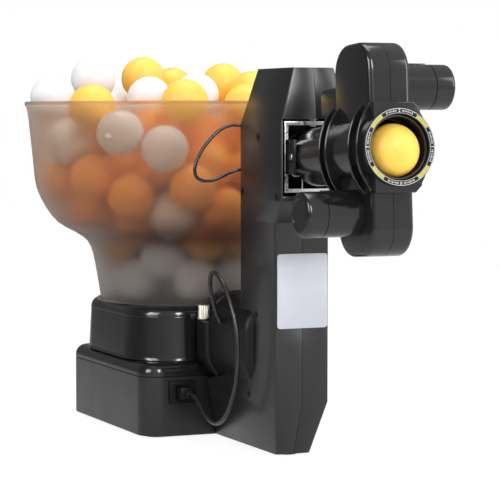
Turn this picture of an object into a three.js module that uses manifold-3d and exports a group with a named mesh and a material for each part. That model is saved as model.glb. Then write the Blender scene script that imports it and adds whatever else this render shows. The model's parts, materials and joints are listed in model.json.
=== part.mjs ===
// Table tennis robot: a ball hopper on a base box, a feed column and a shooting head with two wheels.
// Millimetres, +Z up. The origin is on the underside of the base's mat, below the axis of the hopper.
// The robot throws along -Y, and X runs across it.
import * as THREE from "three";
import { mergeVertices } from "three/addons/utils/BufferGeometryUtils.js";
import Module from "manifold-3d";

const wasm = await Module();
wasm.setup();

// Clearances and cuts
const SEAT_GAP = 0.3;
const RUNNING_GAP = 0.6;
const CUT_OVERRUN = 3;

// Ball and the way it takes
const BALL_DIAMETER = 40;
const BALL_PLAY = 1.2;
const TUBE_WALL = 0.9;
const TUBE_BEND_RADIUS = 30;
const TUBE_LOW_AXIS_HEIGHT = 77;
const TUBE_START_REACH = 25;
const TUBE_COLUMN_REACH = 215;
const TUBE_END_REACH = 254;
const DROP_HOLE_REACH = 46;
const BEND_STEPS = 4;

// Base box
const BASE_WIDTH = 161.2;
const BASE_LENGTH = 194.8;
const BASE_CORNER = 18;
const BASE_HEIGHT = 64;
const BASE_WALL = 2.4;
const DECK_SKIRT = 11.4;
const DECK_EDGE = 4.5;
const PAD_HEIGHT = 1.5;
const PAD_POCKET = 1;
const MAT_INSET = 8;
const COLUMN_FOOT_RADIUS = 9;
const COLUMN_FOOT_REACH = 212;

// Turret between the base box and the hopper
const TURRET_WIDTH = 158;
const TURRET_LENGTH = 174;
const TURRET_CORNER = 46;
const TURRET_TOP = 110.4;
const TURRET_DRAFT = 2;
const TURRET_EDGE = 8;
const TURRET_FLOOR = 102;
const PAN_THICKNESS = 2.4;
const PAN_LEDGE = 1.2;
const TURRET_WALL = 3;
const WELL_RADIUS = 68;
const COLLAR_RADIUS = 73;
const HOLLOW_EDGE = 5;

// Hopper bowl: outer radius at heights over the collar
const BOWL_WALL = 2.4;
const BOWL_RIM_RADIUS = 147.2;
const BOWL_RIM_HEIGHT = 287.6;
const BOWL_RIM_LIP = 1.2;
const BOWL_RIM_BAND = 5;
const BOWL_FOOT_RADIUS = 80;
const BOWL_FLANGE = 3.2;
const BOWL_MOUTH_RADIUS = 69;

// Feed rotor and its gearmotor
const ROTOR_RADIUS = 66;
const ROTOR_HEIGHT = 8;
const ROTOR_POCKETS = 6;
const ROTOR_HUB_RADIUS = 17;
const ROTOR_HUB_RISE = 14;
const ROTOR_SHAFT_RADIUS = 4;
const GEARMOTOR_RADIUS = 18;
const GEARMOTOR_LENGTH = 54;
const SHAFT_DEPTH = 12;

// Board, socket and plug
const BOARD_WIDTH = 100;
const BOARD_DEPTH = 46;
const BOARD_THICKNESS = 1.6;
const BOARD_STANDOFF = 6;
const BOARD_REACH_BACK = 52;
const CHIP_SIZE = 14;
const CHIP_HEIGHT = 4;
const SOCKET_INSET = 34.6;
const SOCKET_HEIGHT = 39;
const SOCKET_WIDTH = 24;
const SOCKET_TALL = 19;
const SOCKET_PROUD = 3;
const SOCKET_DEPTH = 15;
const PLUG_WIDTH = 12;
const PLUG_TALL = 10;
const PLUG_LENGTH = 18;
const PLUG_SEAT = 8;
const BOOT_RADIUS = 3.4;
const BOOT_LENGTH = 7;

// Column
const COLUMN_HALF_WIDTH = 23.6;
const COLUMN_FRONT_REACH = 243.3;
const COLUMN_BACK_REACH = 171;
const COLUMN_WALL = 1.8;
const COLUMN_EDGE = 2.4;
const FOOT_FLARE_HEIGHT = 45;
const FOOT_SIDE_TAPER = 8.4;
const FOOT_FRONT_TAPER = 17.1;
const COLUMN_HEEL_HEIGHT = 50;
const COLUMN_HEEL_SLOPE = 8;
const COLUMN_HEEL_STEP = 42;
const COLUMN_BACK_FULL_HEIGHT = 128;
const CABIN_START_HEIGHT = 190;
const CABIN_FULL_HEIGHT = 208;
const CABIN_SHOULDER_HEIGHT = 268;
const CABIN_TOP_HEIGHT = 312.8;
const CABIN_HALF_WIDTH = 31;
const CABIN_FRONT_REACH = 270;
const CABIN_BACK_REACH = 188;
const CABIN_SIDE_TAPER = 13;
const CABIN_END_TAPER = 6;
const WINDOW_BOTTOM = 212;
const WINDOW_TOP = 272.6;
const PLATE_WIDTH = 44;
const PLATE_HEIGHT = 60;
const PLATE_CENTRE_HEIGHT = 135.2;
const PLATE_CORNER = 2.5;
const PLATE_PROUD = 0.9;
const PLATE_THICKNESS = 1.5;

// Duct between the turret and the column
const DUCT_HALF_WIDTH = 31;
const DUCT_BOTTOM = 50.3;
const DUCT_TOP = 124;
const DUCT_CORNER = 26;
const DUCT_END_REACH = 200;
const DUCT_END_ROUNDING = 9;
const DUCT_COLLAR_REACH = 113;
const DUCT_COLLAR_LENGTH = 10;
const DUCT_COLLAR_PROUD = 2.5;

// Clamp screw in front of the turret
const SCREW_OFFSET = 24;
const SCREW_REACH = 94;
const SCREW_POST_RADIUS = 4.2;
const SCREW_POST_TOP = 100.4;
const SCREW_HEAD_RADIUS = 5.2;
const SCREW_HEAD_HEIGHT = 10.5;
const SCREW_FLANGE_RADIUS = 6.2;
const SCREW_FLANGE_HEIGHT = 1.4;
const SCREW_SHANK_RADIUS = 2;
const SCREW_SHANK_LENGTH = 14;
const SCREW_RIDGES = 18;
const SCREW_RIDGE_DEPTH = 0.5;

// Swing frame and its drive, turning left and right on a vertical axis
const SWING_REACH = 262;
const SWING_HALF_WIDTH = 26;
const SWING_BOTTOM = 214.8;
const SWING_TOP = 270.6;
const SWING_STRIP = 3;
const SWING_SHEET = 1.8;
const SWING_WEB_AHEAD = 2.7;
const SWING_FLANGE_BACK = 6;
const SWING_PIN_RADIUS = 2.4;
const SWING_PIN_PROUD = 5;
const EAR_HALF_HEIGHT = 13.5;
const EAR_AHEAD = 6;
const GEAR_MODULE = 1.25;
const SECTOR_TEETH = 32;
const SECTOR_SPREAD = 64;
const SECTOR_HUB_RADIUS = 3.6;
const PINION_TEETH = 14;
const GEAR_THICKNESS = 3;
const TOOTH_TIP_SHARE = 0.9;
const TOOTH_ROOT_SHARE = 1.15;
const GEAR_TOOTH_PLAY = 0.25;
const SWING_MOTOR_RADIUS = 10;
const SWING_MOTOR_LENGTH = 24;
const SWING_MOTOR_SHELF = 2;

// Tilt sleeve
const TILT_REACH = 277;
const BARREL_HEIGHT = 242.9;
const REST_PITCH_DEGREES = 4;
const SLEEVE_RADIUS = 23;
const SLEEVE_TAIL = 3;
const SLEEVE_COLLAR_RADIUS = 26;
const SLEEVE_COLLAR_LENGTH = 4;
const TILT_PIN_RADIUS = 2.5;
const TILT_PIN_PROUD = 0.6;

// Head: two wheels above and below the barrel, in a two-part housing
const WHEEL_AHEAD = 92.5;
const WHEEL_OFFSET = 47;
const WHEEL_RADIUS = 27.5;
const WHEEL_WIDTH = 22;
const TYRE_THICKNESS = 4.5;
const TYRE_CROWN = 1.4;
const HUB_WEB_SHARE = 0.35;
const HUB_RIM_SHARE = 0.8;
const HUB_BOSS_SHARE = 0.3;
const HOUSING_LENGTH = 60;
const HOUSING_HALF_HEIGHT = 79;
const HOUSING_HALF_WIDTH = 17;
const HOUSING_CORNER = 22;
const HOUSING_EDGE = 4;
const HOUSING_WALL = 3;
const BARREL_RADIUS = 26.5;
const BARREL_START = 58.6;
const SLEEVE_ENTRY = 5;
const RIB_HALF_WIDTH = 30;
const RIB_HALF_HEIGHT = 40;
const RIB_THICKNESS = 2.2;
const REAR_RIB_PITCH = 11;
const FRONT_RIB_BEHIND = 12;
const LUG_BEHIND = 26;
const LUG_BOTTOM = 27.2;
const LUG_TOP = 49;
const LUG_CORNER = 7;
const MOUTH_HALF_WIDTH = 19;
const MOUTH_HALF_HEIGHT = 33;
const MOUTH_CHAMFER = 5;
const MOUTH_LENGTH = 9.5;
const MOUTH_RADIUS = 27;
const MOUTH_FLANGE = 2.2;
const MUZZLE_OUTER_RADIUS = 23.7;
const MUZZLE_WALL = 1.5;
const MUZZLE_BEHIND = 8;
const DIAL_OUTER_RADIUS = 28.6;
const DIAL_INNER_RADIUS = 24;
const DIAL_THICKNESS = 3;

// Wheel motors and their cases
const CASE_RADIUS = 17;
const CASE_LENGTH = 45;
const CASE_WALL = 2;
const CASE_EDGE = 3;
const CASE_ROUND_SHARE = 0.3;
const CASE_CAP_LENGTH = 16;
const CASE_GROOVE = 0.7;
const MOTOR_RADIUS = 13.8;
const MOTOR_LENGTH = 36;
const MOTOR_SHAFT_RADIUS = 2.5;

// Cords
const LEAD_RADIUS = 1.9;
const LOOP_RADIUS = 1.4;
const CORD_SIDES = 8;
const LEAD_STEPS = 33;
const LOOP_STEPS = 22;

// Sizes worked out from those above
const ballRadius = BALL_DIAMETER / 2;
const tubeInner = ballRadius + BALL_PLAY / 2;
const tubeOuter = tubeInner + TUBE_WALL;
const padTop = PAD_HEIGHT + PAD_POCKET - SEAT_GAP;
const trayFloor = PAD_HEIGHT + BASE_WALL;
const deckBottom = BASE_HEIGHT - DECK_SKIRT;
const turretBottom = BASE_HEIGHT + SEAT_GAP;
const panBottom = TURRET_FLOOR - PAN_THICKNESS;
const bowlBottom = TURRET_TOP + SEAT_GAP;
const rotorBottom = TURRET_FLOOR + RUNNING_GAP;
const baseFront = BASE_LENGTH / 2;
const socketOffset = BASE_WIDTH / 2 - SOCKET_INSET;
const columnHeelReach = baseFront + SEAT_GAP;
const housingStart = WHEEL_AHEAD - HOUSING_LENGTH / 2;
const housingEnd = WHEEL_AHEAD + HOUSING_LENGTH / 2;
const mouthStart = housingEnd + SEAT_GAP;
const mouthEnd = mouthStart + MOUTH_LENGTH;
const dialStart = mouthEnd + SEAT_GAP;
const dialEnd = dialStart + DIAL_THICKNESS;
const muzzleStart = housingEnd - MUZZLE_BEHIND;
const sleeveEnd = BARREL_START + SLEEVE_ENTRY;
const hubRadius = WHEEL_RADIUS - TYRE_THICKNESS;

// Materials
const plastic = (colour, roughness) =>
  new THREE.MeshStandardMaterial({ color: colour, roughness, metalness: 0 });
const metal = (colour, roughness) =>
  new THREE.MeshStandardMaterial({ color: colour, roughness, metalness: 1 });
const blackAbs = plastic(0x1b1a1c, 0.38);
const innerBlack = plastic(0x141414, 0.6);
const smoke = plastic(0x5a4a44, 0.25);
const rubber = plastic(0x111111, 0.85);
const paleGrey = plastic(0xc9cad2, 0.3);
const boardGreen = plastic(0x2c6b3c, 0.6);
const tyreRubber = plastic(0x2a2a2c, 0.9);
const nylon = plastic(0xd8d4c6, 0.5);
const cordJacket = plastic(0x161616, 0.5);
const dialBlack = plastic(0x17171a, 0.3);
const nickel = metal(0xb9b6b0, 0.28);
const zincSheet = metal(0xc4c6c8, 0.35);
const steel = metal(0x9a9c9f, 0.35);

// Turns a closed geometry into a solid, with its shared vertices merged
function solid(geometry) {
  const bare = geometry.clone();
  bare.deleteAttribute("normal");
  bare.deleteAttribute("uv");
  const merged = mergeVertices(bare);
  const vertices = new Float32Array(merged.attributes.position.array);
  const triangles = new Uint32Array(merged.index.array);
  return new wasm.Manifold(new wasm.Mesh({ numProp: 3, vertProperties: vertices, triVerts: triangles }));
}

// Turns a solid back into a geometry
function geometryOf(body) {
  const data = body.getMesh();
  const geometry = new THREE.BufferGeometry();
  geometry.setAttribute("position", new THREE.BufferAttribute(new Float32Array(data.vertProperties), 3));
  geometry.setIndex(new THREE.BufferAttribute(new Uint32Array(data.triVerts), 1));
  geometry.computeVertexNormals();
  return geometry;
}

function joined(first, ...others) {
  return others.reduce((sum, other) => sum.add(other), first);
}

function cutBy(first, ...others) {
  return others.reduce((rest, other) => rest.subtract(other), first);
}

function block(low, high) {
  const geometry = new THREE.BoxGeometry(high[0] - low[0], high[1] - low[1], high[2] - low[2]);
  geometry.translate((low[0] + high[0]) / 2, (low[1] + high[1]) / 2, (low[2] + high[2]) / 2);
  return solid(geometry);
}

// A round bar between two points, with its own radius at each end
function rod(from, to, radius, sides = 24, endRadius = radius) {
  const start = new THREE.Vector3(...from);
  const along = new THREE.Vector3(...to).sub(start);
  const geometry = new THREE.CylinderGeometry(endRadius, radius, along.length(), sides);
  const turn = new THREE.Quaternion().setFromUnitVectors(new THREE.Vector3(0, 1, 0), along.clone().normalize());
  geometry.applyQuaternion(turn);
  const middle = start.clone().addScaledVector(along, 1 / 2);
  geometry.translate(middle.x, middle.y, middle.z);
  return solid(geometry);
}

// A turned piece: the profile holds [radius, height] pairs and closes on the axis or on itself
function turned(profile, sides) {
  const points = profile.map(([radius, height]) => new THREE.Vector2(radius, height));
  const geometry = new THREE.LatheGeometry(points, sides);
  geometry.rotateX(Math.PI / 2);
  const body = solid(geometry);
  return body.volume() < 0 ? solid(flipped(geometry)) : body;
}

function flipped(geometry) {
  const copy = geometry.clone();
  const index = copy.index.array;
  for (let i = 0; i < index.length; i += 3) {
    [index[i], index[i + 1]] = [index[i + 1], index[i]];
  }
  return copy;
}

// Outline of a rectangle with round corners, as points that run anticlockwise
function roundRectangle(minX, maxX, minY, maxY, radius, perCorner) {
  const centres = [
    [maxX - radius, maxY - radius],
    [minX + radius, maxY - radius],
    [minX + radius, minY + radius],
    [maxX - radius, minY + radius],
  ];
  const points = [];
  centres.forEach(([x, y], quarter) => {
    for (let i = 0; i <= perCorner; i++) {
      const angle = (quarter + i / perCorner) * (Math.PI / 2);
      points.push([x + radius * Math.cos(angle), y + radius * Math.sin(angle)]);
    }
  });
  return points;
}

// A skin through outlines of equal point count, each at its own height
function loft(sections) {
  const count = sections[0].outline.length;
  const positions = sections.flatMap(({ outline, height }) => outline.flatMap(([x, y]) => [x, y, height]));
  const index = [];
  for (let level = 0; level + 1 < sections.length; level++) {
    for (let i = 0; i < count; i++) {
      const a = level * count + i;
      const b = level * count + ((i + 1) % count);
      index.push(a, b, b + count, a, b + count, a + count);
    }
  }
  const top = (sections.length - 1) * count;
  for (let i = 1; i + 1 < count; i++) {
    index.push(0, i + 1, i);
    index.push(top, top + i, top + i + 1);
  }
  const geometry = new THREE.BufferGeometry();
  geometry.setAttribute("position", new THREE.Float32BufferAttribute(positions, 3));
  geometry.setIndex(index);
  return solid(geometry);
}

function shapeOf(points) {
  return new THREE.Shape(points.map(([x, y]) => new THREE.Vector2(x, y)));
}

// A plate of an outline, between two heights, with its edges rounded where an edge size is given
function slab(points, low, high, edge = 0, steps = 2) {
  const shape = shapeOf(points);
  const options = { depth: high - low - 2 * edge, bevelEnabled: edge > 0, steps: 1, curveSegments: 12 };
  if (edge > 0) {
    Object.assign(options, { bevelThickness: edge, bevelSize: edge, bevelOffset: -edge, bevelSegments: steps });
  }
  const geometry = new THREE.ExtrudeGeometry(shape, options);
  geometry.translate(0, 0, low + edge);
  return solid(geometry);
}

// The same, for an outline drawn as [ahead, up] in the head's own frame and given its thickness across X
function sideSlab(points, halfWidth, edge = 0) {
  const shape = shapeOf(points);
  const options = { depth: 2 * (halfWidth - edge), bevelEnabled: edge > 0, steps: 1, curveSegments: 12 };
  if (edge > 0) {
    Object.assign(options, { bevelThickness: edge, bevelSize: edge, bevelOffset: -edge, bevelSegments: 2 });
  }
  const geometry = new THREE.ExtrudeGeometry(shape, options);
  geometry.translate(0, 0, -(halfWidth - edge));
  geometry.applyMatrix4(new THREE.Matrix4().makeBasis(
    new THREE.Vector3(0, -1, 0), new THREE.Vector3(0, 0, 1), new THREE.Vector3(-1, 0, 0)));
  return solid(geometry);
}

// An outline drawn as [across, up], given its thickness along the way the ball flies
function frontSlab(points, start, end, edge = 0) {
  const body = slab(points, start, end, edge);
  return solid(geometryOf(body).rotateX(Math.PI / 2));
}

// A round bar along a curve; with an inner radius it is a pipe
function bent(points, radius, sides, steps, innerRadius = 0) {
  const section = new THREE.Shape(circle(radius, sides));
  if (innerRadius > 0) {
    section.holes.push(new THREE.Path(circle(innerRadius, sides).reverse()));
  }
  const curve = new THREE.CatmullRomCurve3(points.map((p) => new THREE.Vector3(...p)), false, "centripetal");
  return solid(new THREE.ExtrudeGeometry(section, { steps, bevelEnabled: false, extrudePath: curve }));
}

function circle(radius, sides) {
  return Array.from({ length: sides }, (unused, i) => {
    const angle = (i / sides) * 2 * Math.PI;
    return new THREE.Vector2(radius * Math.cos(angle), radius * Math.sin(angle));
  });
}

function ellipse(halfWidth, halfHeight, sides) {
  return Array.from({ length: sides }, (unused, i) => {
    const angle = (i / sides) * 2 * Math.PI;
    return [halfWidth * Math.cos(angle), halfHeight * Math.sin(angle)];
  });
}

// The ball's way through turret, duct and column, in one upright plane: a run, a bend, a riser and a bend
const lowerBendReach = TUBE_COLUMN_REACH - TUBE_BEND_RADIUS;
const lowerBendHeight = TUBE_LOW_AXIS_HEIGHT + TUBE_BEND_RADIUS;
const upperBendReach = TUBE_COLUMN_REACH + TUBE_BEND_RADIUS;
const upperBendHeight = BARREL_HEIGHT - TUBE_BEND_RADIUS;
const tubeFarEnd = TUBE_END_REACH + tubeOuter;
const tubeHighEnd = BARREL_HEIGHT + 2 * tubeOuter;
const tubeRoute = [
  [0, -TUBE_START_REACH, TUBE_LOW_AXIS_HEIGHT],
  ...quarterBend(lowerBendReach, lowerBendHeight, -90),
  ...quarterBend(upperBendReach, upperBendHeight, 90).reverse(),
  [0, -TUBE_END_REACH, BARREL_HEIGHT],
];

function quarterBend(centreReach, centreHeight, startDegrees) {
  return Array.from({ length: BEND_STEPS + 1 }, (unused, i) => {
    const angle = THREE.MathUtils.degToRad(startDegrees + (i / BEND_STEPS) * 90);
    return [0, -(centreReach + TUBE_BEND_RADIUS * Math.cos(angle)), centreHeight + TUBE_BEND_RADIUS * Math.sin(angle)];
  });
}

// A pipe through points in the plane X = 0, mitred at each of them
function polyTube(route, radius, innerRadius) {
  const sides = 16;
  const skin = (size) => {
    const rings = route.map((point, i) => {
      const before = route[Math.max(i - 1, 0)];
      const after = route[Math.min(i + 1, route.length - 1)];
      const heading = new THREE.Vector2(after[1] - before[1], after[2] - before[2]).normalize();
      return Array.from({ length: sides }, (unused, k) => {
        const angle = (k / sides) * 2 * Math.PI;
        const across = size * Math.cos(angle);
        const out = size * Math.sin(angle);
        return [across, point[1] - heading.y * out, point[2] + heading.x * out];
      });
    });
    const positions = rings.flat(2);
    const index = [];
    for (let i = 0; i + 1 < rings.length; i++) {
      for (let k = 0; k < sides; k++) {
        const a = i * sides + k;
        const b = i * sides + ((k + 1) % sides);
        index.push(a, b, b + sides, a, b + sides, a + sides);
      }
    }
    const last = (rings.length - 1) * sides;
    for (let k = 1; k + 1 < sides; k++) {
      index.push(0, k + 1, k);
      index.push(last, last + k, last + k + 1);
    }
    const geometry = new THREE.BufferGeometry();
    geometry.setAttribute("position", new THREE.Float32BufferAttribute(positions, 3));
    geometry.setIndex(index);
    const body = solid(geometry);
    return body.volume() < 0 ? solid(flipped(geometry)) : body;
  };
  return innerRadius > 0 ? skin(radius).subtract(skin(innerRadius)) : skin(radius);
}

// The room that the ball tube needs in what it passes through
function tubeRoom(clearance) {
  return polyTube(tubeRoute, tubeOuter + clearance, 0);
}

const basePlan = (inset) => roundRectangle(
  -BASE_WIDTH / 2 + inset, BASE_WIDTH / 2 - inset, -baseFront + inset, baseFront - inset, BASE_CORNER - inset, 5);

function baseTray() {
  const top = deckBottom - SEAT_GAP;
  const outer = slab(basePlan(0), PAD_HEIGHT, top);
  const inner = slab(basePlan(BASE_WALL), trayFloor, top + CUT_OVERRUN);
  const matRoom = slab(basePlan(MAT_INSET - SEAT_GAP), -CUT_OVERRUN, PAD_HEIGHT + PAD_POCKET);
  return cutBy(outer, inner, matRoom, socketRoom());
}

// The hole for the socket, in the tray's wall and in the deck's skirt
function socketRoom() {
  const across = SOCKET_WIDTH / 2 + SEAT_GAP;
  const up = SOCKET_TALL / 2 + SEAT_GAP;
  return block([-socketOffset - across, -baseFront - CUT_OVERRUN, SOCKET_HEIGHT - up],
    [-socketOffset + across, -baseFront + SOCKET_DEPTH, SOCKET_HEIGHT + up]);
}

function baseDeck() {
  const whole = slab(basePlan(0), deckBottom - DECK_EDGE, BASE_HEIGHT, DECK_EDGE);
  const lid = whole.intersect(slab(basePlan(-CUT_OVERRUN), deckBottom, BASE_HEIGHT + CUT_OVERRUN));
  const inner = slab(basePlan(BASE_WALL), deckBottom - CUT_OVERRUN, BASE_HEIGHT - BASE_WALL);
  const motorHole = rod([0, 0, 0], [0, 0, BASE_HEIGHT + CUT_OVERRUN], GEARMOTOR_RADIUS + SEAT_GAP, 28);
  return cutBy(lid, inner, motorHole, socketRoom(), tubeRoom(SEAT_GAP));
}

// The rubber mat that the base stands on, let into the tray's underside
function baseMat() {
  return slab(basePlan(MAT_INSET), 0, padTop);
}

// The rubber foot below the column, half let into it
function columnFoot() {
  return rod([0, -COLUMN_FOOT_REACH, 0], [0, -COLUMN_FOOT_REACH, padTop], COLUMN_FOOT_RADIUS, 16);
}

function columnFootRoom() {
  return rod([0, -COLUMN_FOOT_REACH, -CUT_OVERRUN], [0, -COLUMN_FOOT_REACH, PAD_HEIGHT + PAD_POCKET],
    COLUMN_FOOT_RADIUS + SEAT_GAP, 16);
}

const turretPlan = (inset) => roundRectangle(
  -TURRET_WIDTH / 2 + inset, TURRET_WIDTH / 2 - inset,
  -TURRET_LENGTH / 2 + inset, TURRET_LENGTH / 2 - inset, TURRET_CORNER - inset, 4);

// The turret's outside, drawn in by an inset, or let out where the inset is negative
function turretBody(inset, low, high, edge) {
  const levels = [0, 1, 2].map((i) => {
    const angle = (i / 2) * (Math.PI / 2);
    return {
      outline: turretPlan(inset + TURRET_DRAFT + edge * (1 - Math.cos(angle))),
      height: high - edge + edge * Math.sin(angle),
    };
  });
  return loft([{ outline: turretPlan(inset), height: low }, ...levels]);
}

function turret() {
  const shell = turretBody(0, turretBottom, TURRET_TOP, TURRET_EDGE);
  const collar = rod([0, 0, TURRET_FLOOR], [0, 0, TURRET_TOP], COLLAR_RADIUS, 28);
  const post = rod([-SCREW_OFFSET, -SCREW_REACH, turretBottom], [-SCREW_OFFSET, -SCREW_REACH, SCREW_POST_TOP],
    SCREW_POST_RADIUS, 16);
  const web = block([-SCREW_OFFSET - SCREW_POST_RADIUS / 2, -SCREW_REACH, turretBottom],
    [-SCREW_OFFSET + SCREW_POST_RADIUS / 2, -TURRET_LENGTH / 2 + TURRET_WALL, SCREW_POST_TOP]);
  const hollow = turretBody(TURRET_WALL, turretBottom - CUT_OVERRUN, panBottom, HOLLOW_EDGE);
  const well = rod([0, 0, panBottom - CUT_OVERRUN], [0, 0, TURRET_TOP + CUT_OVERRUN], WELL_RADIUS, 28);
  const screwHole = rod([-SCREW_OFFSET, -SCREW_REACH, SCREW_POST_TOP - SCREW_SHANK_LENGTH],
    [-SCREW_OFFSET, -SCREW_REACH, SCREW_POST_TOP + CUT_OVERRUN], SCREW_SHANK_RADIUS + SEAT_GAP, 16);
  return cutBy(joined(shell, collar, post, web), hollow, well, screwHole, tubeRoom(SEAT_GAP));
}

// The pan below the rotor: its top lies in the turret's well, and its flange is fixed from below
function feedPan() {
  const plate = rod([0, 0, panBottom - SEAT_GAP], [0, 0, TURRET_FLOOR], WELL_RADIUS - SEAT_GAP, 28);
  const flange = rod([0, 0, panBottom - SEAT_GAP - PAN_THICKNESS], [0, 0, panBottom - SEAT_GAP],
    WELL_RADIUS + PAN_LEDGE, 28);
  const drop = rod([0, -DROP_HOLE_REACH, BASE_HEIGHT], [0, -DROP_HOLE_REACH, TURRET_TOP], tubeInner, 24);
  const shaftHole = rod([0, 0, 0], [0, 0, TURRET_TOP], ROTOR_SHAFT_RADIUS + RUNNING_GAP, 24);
  return cutBy(joined(plate, flange), drop, shaftHole, tubeRoom(SEAT_GAP));
}

// The bowl's outside from the flange at its foot to the rim: [share of the radii, share of the height]
// The radius share runs from the foot (0) to the rim (1).
const bowlShapeShares = [
  [0, 0], [0.08, 0.175], [0.135, 0.262], [0.235, 0.318], [0.465, 0.366], [0.66, 0.421], [0.815, 0.521],
  [0.877, 0.602], [0.908, 0.753], [1, 1],
];

function hopperBowl() {
  const radiusAt = (share, inset) => BOWL_FOOT_RADIUS + share * (BOWL_RIM_RADIUS - BOWL_FOOT_RADIUS) - inset;
  const heightAt = (share) => bowlBottom + share * (BOWL_RIM_HEIGHT - bowlBottom);
  const outer = bowlShapeShares.map(([radius, height]) => [radiusAt(radius, 0), heightAt(height)]);
  const inner = bowlShapeShares.filter((unused, i) => i > 0 && i !== 2 && i !== 7)
    .map(([radius, height]) => [radiusAt(radius, BOWL_WALL), heightAt(height)]);
  const rimTop = BOWL_RIM_HEIGHT;
  const profile = [
    [BOWL_MOUTH_RADIUS, bowlBottom],
    [BOWL_FOOT_RADIUS + BOWL_FLANGE, bowlBottom],
    [BOWL_FOOT_RADIUS + BOWL_FLANGE, bowlBottom + BOWL_WALL * 2 / 3],
    ...outer.slice(0, -1).map(([radius, height]) => [radius, Math.max(height, bowlBottom + BOWL_WALL)]),
    [BOWL_RIM_RADIUS - BOWL_RIM_LIP, rimTop - BOWL_RIM_BAND],
    [BOWL_RIM_RADIUS, rimTop - BOWL_RIM_BAND / 2],
    [BOWL_RIM_RADIUS, rimTop],
    ...inner.reverse(),
    [BOWL_FOOT_RADIUS - BOWL_WALL, bowlBottom + BOWL_WALL],
    [BOWL_MOUTH_RADIUS, bowlBottom + BOWL_WALL],
    [BOWL_MOUTH_RADIUS, bowlBottom],
  ];
  return turned(profile, 36);
}

// The domed cap of the feed rotor: [share of its radius, share of its rise]
const hubShapeShares = [[1, 0], [0.8, 0.7], [0.35, 1], [0, 1]];

function feedRotor() {
  const top = rotorBottom + ROTOR_HEIGHT;
  const disc = rod([0, 0, rotorBottom], [0, 0, top], ROTOR_RADIUS, 36);
  const shaftHole = rod([0, 0, rotorBottom - CUT_OVERRUN], [0, 0, top + CUT_OVERRUN], ROTOR_SHAFT_RADIUS + SEAT_GAP, 24);
  const pockets = Array.from({ length: ROTOR_POCKETS }, (unused, i) => {
    const angle = (i / ROTOR_POCKETS) * 2 * Math.PI;
    const x = DROP_HOLE_REACH * Math.sin(angle);
    const y = -DROP_HOLE_REACH * Math.cos(angle);
    return rod([x, y, rotorBottom - CUT_OVERRUN], [x, y, top + CUT_OVERRUN], tubeInner, 12);
  });
  return cutBy(disc, shaftHole, ...pockets);
}

// The rotor's domed cap, in one with its shaft
function feedHub() {
  const shaftEnd = gearmotorTop() - SHAFT_DEPTH + RUNNING_GAP;
  const seat = rotorBottom + ROTOR_HEIGHT + SEAT_GAP;
  return turned([
    [0, shaftEnd],
    [ROTOR_SHAFT_RADIUS, shaftEnd],
    [ROTOR_SHAFT_RADIUS, seat],
    ...hubShapeShares.map(([radius, height]) => [radius * ROTOR_HUB_RADIUS, seat + height * ROTOR_HUB_RISE]),
  ], 24);
}

function gearmotorTop() {
  return trayFloor + SEAT_GAP + GEARMOTOR_LENGTH;
}

function feedGearmotor() {
  const body = rod([0, 0, trayFloor + SEAT_GAP], [0, 0, gearmotorTop()], GEARMOTOR_RADIUS, 32);
  const bore = rod([0, 0, gearmotorTop() - SHAFT_DEPTH], [0, 0, gearmotorTop() + CUT_OVERRUN],
    ROTOR_SHAFT_RADIUS + RUNNING_GAP, 24);
  return cutBy(body, bore);
}

function controlBoard() {
  const low = trayFloor + SEAT_GAP;
  const board = block([-BOARD_WIDTH / 2, BOARD_REACH_BACK - BOARD_DEPTH / 2, low + BOARD_STANDOFF],
    [BOARD_WIDTH / 2, BOARD_REACH_BACK + BOARD_DEPTH / 2, low + BOARD_STANDOFF + BOARD_THICKNESS]);
  const posts = [-1, 1].map((side) => {
    const x = side * (BOARD_WIDTH / 2 - BOARD_STANDOFF);
    return rod([x, BOARD_REACH_BACK, low], [x, BOARD_REACH_BACK, low + BOARD_STANDOFF + BOARD_THICKNESS],
      BOARD_STANDOFF / 2, 12);
  });
  const chip = block([-CHIP_SIZE / 2, BOARD_REACH_BACK - CHIP_SIZE / 2, low + BOARD_STANDOFF],
    [CHIP_SIZE / 2, BOARD_REACH_BACK + CHIP_SIZE / 2, low + BOARD_STANDOFF + BOARD_THICKNESS + CHIP_HEIGHT]);
  return joined(board, chip, ...posts);
}

function leadSocket() {
  const face = -baseFront - SOCKET_PROUD;
  const body = block(
    [-socketOffset - SOCKET_WIDTH / 2, face, SOCKET_HEIGHT - SOCKET_TALL / 2],
    [-socketOffset + SOCKET_WIDTH / 2, -baseFront + SOCKET_DEPTH - SEAT_GAP, SOCKET_HEIGHT + SOCKET_TALL / 2]);
  const mouth = block(
    [-socketOffset - PLUG_WIDTH / 2 - SEAT_GAP, face - CUT_OVERRUN, SOCKET_HEIGHT - PLUG_TALL / 2 - SEAT_GAP],
    [-socketOffset + PLUG_WIDTH / 2 + SEAT_GAP, face + PLUG_SEAT + SEAT_GAP, SOCKET_HEIGHT + PLUG_TALL / 2 + SEAT_GAP]);
  return cutBy(body, mouth);
}

const plugBack = baseFront + SOCKET_PROUD - PLUG_SEAT;
const bootEnd = plugBack + PLUG_LENGTH + BOOT_LENGTH;

function leadPlug() {
  const body = block([-socketOffset - PLUG_WIDTH / 2, -plugBack - PLUG_LENGTH, SOCKET_HEIGHT - PLUG_TALL / 2],
    [-socketOffset + PLUG_WIDTH / 2, -plugBack, SOCKET_HEIGHT + PLUG_TALL / 2]);
  const boot = rod([-socketOffset, -plugBack - PLUG_LENGTH / 2, SOCKET_HEIGHT], [-socketOffset, -bootEnd, SOCKET_HEIGHT],
    BOOT_RADIUS + LEAD_RADIUS / 2, 16, BOOT_RADIUS);
  return joined(body, boot);
}

// The column's outline at one height: half width, front reach and back reach, all drawn in by the inset
function columnSection(height, halfWidth, front, back, inset) {
  return {
    outline: roundRectangle(-halfWidth + inset, halfWidth - inset, -front + inset, -back - inset, COLUMN_EDGE, 2),
    height,
  };
}

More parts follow.
